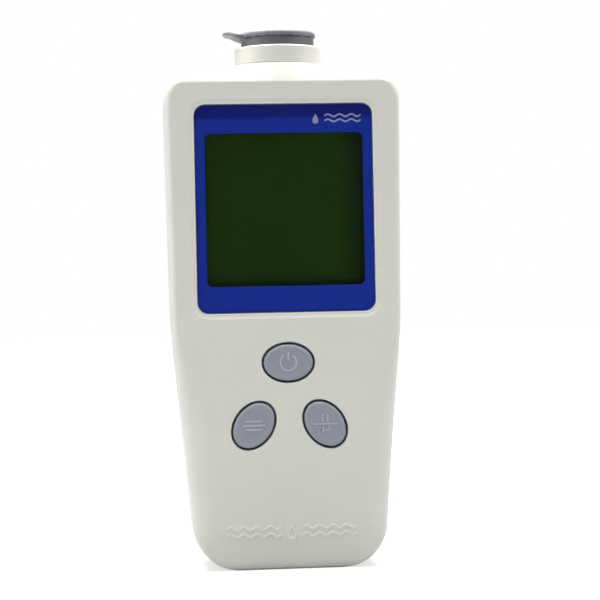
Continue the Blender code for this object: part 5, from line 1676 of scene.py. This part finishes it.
@dataclass
class PortCap:
    """The rubber plug with its domed flange and pull tab."""

    shop: Workshop
    port: Point
    plug_radius: float = 0.01235
    flange_radius: float = 0.01295
    flange_low: float = 0.1786
    flange_top: float = 0.1805
    edge: float = 0.0012
    foot_hole: float = 0.0015
    foot: tuple[Point, ...] = ((0.0008, 0.0), (0.0002, 0.0003), (0.0, 0.0009))
    bands: Point = (0.0022, 0.0038)
    band: tuple[Point, ...] = ((0.0, 0.0), (0.0003, 0.0002), (0.0003, 0.0006), (0.0, 0.0008))
    neck: tuple[Point, ...] = ((0.0, -0.0006), (0.0004, -0.0003), (0.0004, 0.0))
    flange_foot: float = 0.0002
    crown_steps: int = 6
    crown_flat: float = 0.0008
    half_width: float = 0.0052
    tab_root: float = 0.0034
    tab_steps: int = 14
    tab_thick: float = 0.0013
    tab_web: float = 0.0019
    tab_web_end: float = 0.7
    tab_narrows: float = 0.55
    tab_narrow: Point = (0.94, 0.02)
    tab_dip: Triple = (0.0006, 0.75, 0.00012)
    tab_dip_under: float = 0.6
    tab_tip: Point = (0.8, 0.0003)
    tab_soft: Point = (0.35, 0.0005)

    def profile(self) -> list[Point]:
        """Returns the cap's turned profile from its underside to its crown."""
        low, high = node_box("port_cap")
        plug, flange, edge = self.plug_radius, self.flange_radius, self.edge
        profile = [(self.foot_hole, low.z)] + [(plug - inset, low.z + rise) for inset, rise in self.foot]
        for level in self.bands:
            profile += [(plug - inset, low.z + level + rise) for inset, rise in self.band]
        profile += [(plug - inset, self.flange_low + rise) for inset, rise in self.neck]
        profile.append((flange - self.flange_foot, self.flange_low))
        profile += [(flange - edge * (1 - near), self.flange_top - edge * (1 - far))
                    for near, far in quarter_arc(5)]
        crown = high.z - self.flange_top
        for k in range(1, self.crown_steps):
            share = 1 - k / self.crown_steps
            profile.append(((flange - edge) * share, self.flange_top + crown * (1 - share ** 2)))
        return profile + [(self.crown_flat, high.z)]

    def tab(self) -> Object:
        """Builds the pull tab, dipped behind its lip."""
        root = self.flange_radius - self.tab_root
        reach = -node_box("port_cap")[0].x
        top = self.flange_top
        slope, least = self.tab_narrow
        dip_depth, dip_end, dip_rise = self.tab_dip
        tip_start, tip_rise = self.tab_tip
        rings = []
        for k in range(self.tab_steps + 1):
            share = k / self.tab_steps
            out = root + (reach - root) * share
            narrowed = max(share - self.tab_narrows, 0.0) / (1 - self.tab_narrows)
            half = self.half_width * sqrt(max(1 - narrowed ** 2 * slope, least))
            dip = -dip_depth * sin(min(share / dip_end, 1.0) * pi) + dip_rise * share
            web = (1 - min(share / self.tab_web_end, 1.0)) * self.tab_web
            tip = max(share - tip_start, 0.0) / (1 - tip_start) * tip_rise
            under = top - self.tab_thick - web + tip + dip * self.tab_dip_under
            rings.append(self.tab_ring(out, half, under, top + dip))
        return Solid().loft(rings).made("tab")

    def tab_ring(self, out: float, half: float, low: float, high: float) -> list[Vector]:
        """Returns the tab's rounded section at one distance from the port's axis."""
        share, most = self.tab_soft
        soft = min((high - low) * share, most)
        corners = ((half - soft, low + soft, -90), (half - soft, high - soft, 0),
                   (-half + soft, high - soft, 90), (-half + soft, low + soft, 180))
        ring = []
        for y, z, start in corners:
            for step in range(4):
                turn = radians(start + 30 * step)
                ring.append(Vector((-out, self.port[1] + y + soft * cos(turn), z + soft * sin(turn))))
        return ring

    def build(self) -> None:
        """Builds the cap as one moulding."""
        cap = Solid().turned(self.profile(), self.port, 96).made("port_plug")
        combined(cap, self.tab(), Operation.ADD)
        self.shop.hand_over(cap, Body.CAP, "cap_rubber", "port_cap")


@dataclass
class BatteryBay:
    """Four cells in a row with their contacts and the ribbed door over them."""

    shop: Workshop
    plate: float = 0.0004
    plate_soft: float = 0.0001
    nub_radius: float = 0.0019
    nub: float = 0.0010
    nub_moat: float = 0.0004
    nub_edge: float = 0.0002
    cell_ends: Point = (0.76, 0.70)
    moat_out: float = 0.66
    moat_depth: float = 0.0003
    cell_foot: tuple[Point, ...] = ((0.0008, 0.0), (0.0002, 0.0002), (0.0, 0.0007))
    cell_shoulder: tuple[Point, ...] = ((0.0, 0.0007), (0.0002, 0.0002), (0.0007, 0.0))
    spring_wire: float = 0.00028
    spring_turns: float = 3.5
    spring_radii: Point = (0.0034, 0.0022)
    door_rings: tuple[Point, ...] = ((0.0004, 0.0), (0.00012, -0.00012), (0.0, -0.0004))
    well: Point = (0.0024, 0.0027)
    well_edge: float = 0.0003
    field_half: float = 0.0170
    field_drop: Point = (0.0245, 0.0115)
    field_sink: float = 0.0006
    field_draft: float = 0.0003
    field_corner: float = 0.002
    seal_corner: Point = (0.0035, 0.0022)
    rib_count: int = 9
    rib_margin: float = 0.003
    rib_share: float = 0.42
    rib_below: float = 0.00005
    rib_root: float = 0.0002
    rib_soft: float = 0.0002

    @staticmethod
    def cells() -> list[tuple[Vector, Vector, bool]]:
        """Returns each cell's corners and whether it points up."""
        return [(*node_box(name), i % 2 == 0) for i, name in enumerate(numbered("cell", 4))]

    def build_cells(self) -> None:
        """Builds the cells, which point up and down in turn."""
        cells = Solid()
        for low, high, upward in self.cells():
            radius = (high.x - low.x) / 2
            length = high.z - low.z - self.nub
            foot_share, shoulder_share = self.cell_ends
            shape = [(radius * foot_share, 0.0)] + [(radius - inset, rise) for inset, rise in self.cell_foot]
            shape += [(radius - inset, length - drop) for inset, drop in self.cell_shoulder]
            shape += [(radius * shoulder_share, length), (radius * self.moat_out, length - self.moat_depth),
                      (self.nub_radius + self.nub_moat, length - self.moat_depth), (self.nub_radius, length),
                      (self.nub_radius, length + self.nub - self.nub_edge),
                      (self.nub_radius - self.nub_edge, length + self.nub)]
            profile = [(r, low.z + z if upward else high.z - z) for r, z in shape]
            cells.turned(profile, ((low.x + high.x) / 2, (low.y + high.y) / 2), 56)
        self.shop.hand_over(cells.made("cell_set"), Body.HOUSING, "cell_jacket", *numbered("cell", 4))

    def build_contacts(self) -> None:
        """Builds the contact plates, and the coil springs that stand on them."""
        names = [f"contact_{place}" for place in
                 ("upper_left", "upper_middle", "upper_right", "lower_left", "lower_right")]
        plates = Solid()
        for name in names:
            low, high = node_box(name)
            bottom = high.z - self.plate if "upper" in name else low.z
            top = bottom + self.plate
            plates.slab([(low.x, bottom), (high.x, bottom), (high.x, top), (low.x, top)], low.y, high.y)
        self.shop.hand_over(softened(plates.made("contact_plates"), self.plate_soft), Body.HOUSING,
                            "plated_metal", *names)
        lower, upper = node_box(names[-1])[0].z + self.plate, node_box(names[2])[1].z - self.plate
        wire = self.spring_wire
        places, turns, heights = [], [], []
        for low, high, upward in self.cells():
            start, lift, turn = (lower, wire, 0.0) if upward else (upper, -wire, pi)
            heights.append(low.z - start if upward else start - high.z)
            places.append(Vector(((low.x + high.x) / 2, (low.y + high.y) / 2, start + lift)))
            turns.append(Vector((turn, 0.0, 0.0)))
        base, tip = self.spring_radii
        sizes = {"Height": min(heights) - 2 * wire, "Wire": wire, "Turns": self.spring_turns,
                 "Base Radius": base, "Tip Radius": tip}
        self.shop.row("contact_springs", "coil", places, Body.HOUSING, "plated_metal", sizes, turns=turns)

    def build_door(self) -> None:
        """Builds the door with its screw wells, seal groove and sunk field."""
        low, high = node_box("battery_door")
        edges = [(low.y, 0.0)] + [(high.y - drop, grow) for drop, grow in self.door_rings]
        rows = [(y, grow, DOOR_CORNER) for y, grow in edges]
        door = Solid().loft(stations((low, high), *rows)).made("bay_door")
        cuts = Solid()
        seat, bore = DOOR_SCREW.seat - FIT, DOOR_SCREW.bore
        well, mouth = self.well
        for x, z in DOOR_SCREW.places():
            cuts.loft(sleeve(x, z, ((low.y - CUT_PAST, bore), (seat, bore), (seat, well),
                                    (high.y - self.well_edge, well), (high.y, mouth),
                                    (high.y + CUT_PAST, mouth))))
        middle = (low.z + high.z) / 2
        near, far = self.field_drop
        sunk = (Vector((-self.field_half, 0, middle - near)), Vector((self.field_half, 0, middle - far)))
        floor = high.y - self.field_sink
        cuts.loft(stations(sunk, (floor, -self.field_draft, self.field_corner),
                           (high.y, 0.0, self.field_corner), (high.y + CUT_PAST, 0.0, self.field_corner)))
        combined(door, cuts.made("door_cuts"), Operation.CUT)
        seal = node_box("door_seal")
        outer_corner, inner_corner = self.seal_corner
        outer = grown(shrunk(seal, -FIT), 0.0, outer_corner)
        inner = grown(shrunk(seal, SEAL_WIDTH + FIT), 0.0, inner_corner)
        groove = Solid().frame(outer, inner, low.y - CUT_PAST, seal[1].y + FIT).made("groove")
        combined(door, groove, Operation.CUT)
        self.shop.hand_over(door, Body.DOOR, "shell_plastic", "battery_door")
        self.build_ribs(sunk, floor, high.y)
        self.shop.dress("seal_rubber", "door_seal")

    def build_ribs(self, sunk: Box, floor: float, crown: float) -> None:
        """Builds the finger ribs in the door's field."""
        low, high = sunk
        pitch = (high.z - low.z) / self.rib_count
        depth = crown - floor - self.rib_below
        places = [Vector((0.0, floor + depth / 2 - self.rib_root / 2, low.z + pitch * (k + 0.5)))
                  for k in range(self.rib_count)]
        sizes = {"Width": high.x - low.x - self.rib_margin, "Depth": depth + self.rib_root,
                 "Height": pitch * self.rib_share}
        self.shop.row("door_ribs", "block", places, Body.DOOR, "shell_plastic", sizes, soft=self.rib_soft)

    def build(self) -> None:
        """Builds the whole bay."""
        self.build_cells()
        self.build_contacts()
        self.build_door()


@dataclass
class Board:
    """The main board with its chips, headers, small parts and tracks."""

    shop: Workshop
    leg_count: int = 12
    leg_pitch: float = 0.0009
    leg_start: float = -0.00495
    leg_out: float = 0.0004
    leg_lift: float = 0.0003
    leg_size: float = 0.0005
    part_count: int = 70
    part_field: tuple[Point, Point] = ((-0.0255, 0.0255), (0.0385, 0.1500))
    part_clear: float = 0.003
    part_gap: Point = (0.0030, 0.0022)
    part_lift: float = 0.00035
    part_sizes: tuple[tuple[str, str, Triple], ...] = (
        ("chip_parts", "ceramic_tan", (0.0013, 0.0006, 0.0010)),
        ("chip_ends", "solder", (0.0020, 0.0005, 0.0009)))
    track_width: float = 0.00035
    track_rise: float = 0.00004
    track_least: float = 0.0004

    def build_parts(self) -> None:
        """Builds the processor's legs, the small surface parts and the tracks."""
        back = node_box("main_board")[1].y
        low, high = node_box("processor")
        x, z = (low.x + high.x) / 2, (low.z + high.z) / 2
        half = (high.x - low.x) / 2 + self.leg_out
        depth = back + self.leg_lift
        legs = []
        for k in range(self.leg_count):
            along = self.leg_start + self.leg_pitch * k
            legs += [Vector((x + side * half, depth, z + along)) for side in (-1, 1)]
            legs += [Vector((x + along, depth, z + side * half)) for side in (-1, 1)]
        sizes = dict.fromkeys(("Width", "Depth", "Height"), self.leg_size)
        self.shop.row("processor_legs", "block", legs, Body.HOUSING, "solder", sizes)
        places = self.part_places(back + self.part_lift)
        for name, slot, size in self.part_sizes:
            sizes = dict(zip(("Width", "Depth", "Height"), size))
            self.shop.row(name, "block", places, Body.HOUSING, slot, sizes)
        self.build_tracks(back, places)

    def part_places(self, depth: float) -> list[Vector]:
        """Returns scattered centres that keep clear of the large parts and of each other."""
        draw = random.Random(SEED)
        busy = [node_box(name) for name in ("processor", "battery_header", "probe_header",
                                            *numbered("board_screw", 4))]
        across, along = self.part_field
        clear, (gap_x, gap_z) = self.part_clear, self.part_gap
        places: list[Vector] = []
        while len(places) < self.part_count:
            x, z = draw.uniform(*across), draw.uniform(*along)
            free = all(not (a.x - clear < x < b.x + clear and a.z - clear < z < b.z + clear) for a, b in busy)
            if free and all(abs(x - p.x) > gap_x or abs(z - p.z) > gap_z for p in places):
                places.append(Vector((x, depth, z)))
        return places

    def build_tracks(self, back: float, places: Sequence[Vector]) -> None:
        """Builds raised tracks that run from part to part with bends at half a right angle."""
        tracks = Solid()
        for start, end in zip(places[::2], places[1::2]):
            across, along = end.x - start.x, end.z - start.z
            bend = min(abs(across), abs(along))
            corner = (start.x + (bend if across > 0 else -bend), start.z + (bend if along > 0 else -bend))
            if abs(across) + abs(along) - 2 * bend > self.track_least:
                line = [(start.x, start.z), corner, (end.x, end.z)]
                tracks.slab(stroke(line, self.track_width, 2), back - self.track_rise, back + self.track_rise)
        self.shop.hand_over(tracks.made("board_tracks"), Body.HOUSING, "copper_trace", weighted=False)

    def dress_board(self) -> None:
        """Dresses the board, its chips, headers and leads."""
        for slot, *nodes in (("board_laminate", "main_board"), ("chip_black", "processor"),
                             ("header_plastic", "battery_header", "probe_header"), ("lead_red", "red_lead"),
                             ("lead_black", "black_lead"), ("lead_grey", "probe_lead")):
            self.shop.dress(slot, *nodes)

    def build(self) -> None:
        """Builds and dresses the whole board."""
        self.build_parts()
        self.dress_board()


@dataclass(frozen=True)
class Studio:
    """A plain pale floor, soft lights and the camera."""

    azimuth: float = -5.24
    elevation: float = 0.2
    roll: float = 1.18
    distance: float = 0.680
    target: Triple = (0.00597, -0.0033, 0.0894)
    lens: float = 119.4
    sensor: float = 36.0
    clip: Point = (0.01, 50.0)
    ambient: float = 0.47
    card: float = 0.02
    card_cosines: Point = (0.30, 0.88)
    floor_radius: float = 4.0
    floor_grey: float = 0.45
    floor_roughness: float = 0.9
    floor_glow: float = 0.60
    glow_range: Point = (0.15, 0.75)
    aim: Triple = (0.0, 0.0, 0.09)
    lights: tuple[tuple[str, Triple, float, float], ...] = (
        ("top", (0.0, 0.12, 0.95), 0.9, 25.0),
        ("left", (-0.9, -0.25, 0.30), 0.7, 2.9),
        ("right", (0.9, -0.25, 0.30), 0.7, 1.9),
    )

    def camera(self) -> None:
        """Places the camera."""
        data = bpy.data.cameras.new("camera")
        data.lens = self.lens
        data.sensor_width = self.sensor
        data.clip_start, data.clip_end = self.clip
        made = linked("camera", data)
        turn, rise, roll = radians(self.azimuth), radians(self.elevation), radians(self.roll)
        back = Vector((sin(turn) * cos(rise), -cos(turn) * cos(rise), sin(rise)))
        right = Vector((cos(turn), sin(turn), 0.0))
        up = back.cross(right)
        rolled_right = right * cos(roll) - up * sin(roll)
        rolled_up = right * sin(roll) + up * cos(roll)
        axes = Matrix((rolled_right, rolled_up, back)).transposed().to_4x4()
        made.matrix_world = Matrix.Translation(Vector(self.target) + back * self.distance) @ axes
        bpy.context.scene.camera = made

    def light(self, name: str, place: Triple, size: float, power: float) -> None:
        """Adds a soft square light that looks at the object."""
        data = bpy.data.lights.new(name, "AREA")
        data.shape = "SQUARE"
        data.size = size
        data.energy = power
        made = linked(name, data)
        made.location = place
        made.rotation_mode = "QUATERNION"
        made.rotation_quaternion = (Vector(self.aim) - Vector(place)).to_track_quat("-Z", "Y")

    def world(self) -> None:
        """Makes the pale surroundings, with a dark card behind the camera."""
        world = bpy.data.worlds.new("surroundings")
        world.use_nodes = True
        bpy.context.scene.world = world
        tree = Tree(world.node_tree)
        seen = tree.add("ShaderNodeLightPath").outputs["Is Camera Ray"]
        heading = tree.add("ShaderNodeTexCoord").outputs["Generated"]
        forward = tree.vector_maths("DOT_PRODUCT", heading, (0.0, -1.0, 0.0))
        carded = tree.between(forward, *self.card_cosines, self.ambient, self.card)
        background = world.node_tree.nodes["Background"]
        tree.join(tree.between(seen, 0.0, 1.0, carded, 1.0), background.inputs["Strength"])
        background.inputs["Color"].default_value = (1.0, 1.0, 1.0, 1.0)

    def floor(self) -> None:
        """Lays the floor, which is clear from below."""
        mesh = bmesh.new()
        bmesh.ops.create_circle(mesh, cap_ends=True, segments=96, radius=self.floor_radius)
        data = bpy.data.meshes.new("floor")
        mesh.to_mesh(data)
        mesh.free()
        made = linked("floor", data)
        material = bpy.data.materials.new("floor_white")
        material.use_nodes = True
        shader = material.node_tree.nodes["Principled BSDF"]
        grey = self.floor_grey
        shader.inputs["Base Color"].default_value = (grey, grey, grey, 1.0)
        shader.inputs["Roughness"].default_value = self.floor_roughness
        shader.inputs["Emission Color"].default_value = (1.0, 1.0, 1.0, 1.0)
        tree = Tree(material.node_tree)
        seen = tree.add("ShaderNodeLightPath").outputs["Is Camera Ray"]
        away = tree.vector_maths("LENGTH", tree.add("ShaderNodeTexCoord").outputs["Object"])
        glow = tree.times(seen, tree.between(away, *self.glow_range, self.floor_glow, 1.0))
        tree.join(glow, shader.inputs["Emission Strength"])
        under = tree.add("ShaderNodeNewGeometry").outputs["Backfacing"]
        clear = tree.add("ShaderNodeBsdfTransparent").outputs[0]
        mixed = tree.add("ShaderNodeMixShader", {0: under, 1: shader.outputs[0], 2: clear})
        tree.join(mixed.outputs[0], material.node_tree.nodes["Material Output"].inputs["Surface"])
        data.materials.append(material)

    def build(self) -> None:
        """Sets up the whole studio."""
        self.camera()
        self.world()
        self.floor()
        for light in self.lights:
            self.light(*light)
        bpy.context.scene.view_settings.view_transform = "Standard"


def main() -> None:
    """Builds every sub-assembly in order."""
    logging.basicConfig(level=logging.INFO, format="%(name)s: %(message)s", stream=sys.stdout)
    shop = Workshop()
    housing = Housing(shop)
    port = ProbePort(shop, housing.port, housing.envelope.height)
    parts = (housing, Display(shop), Keypad(shop), port, PortCap(shop, housing.port), BatteryBay(shop),
             Board(shop), Studio())
    for part in parts:
        part.build()
    bpy.context.view_layer.update()


if __name__ == "__main__":
    main()
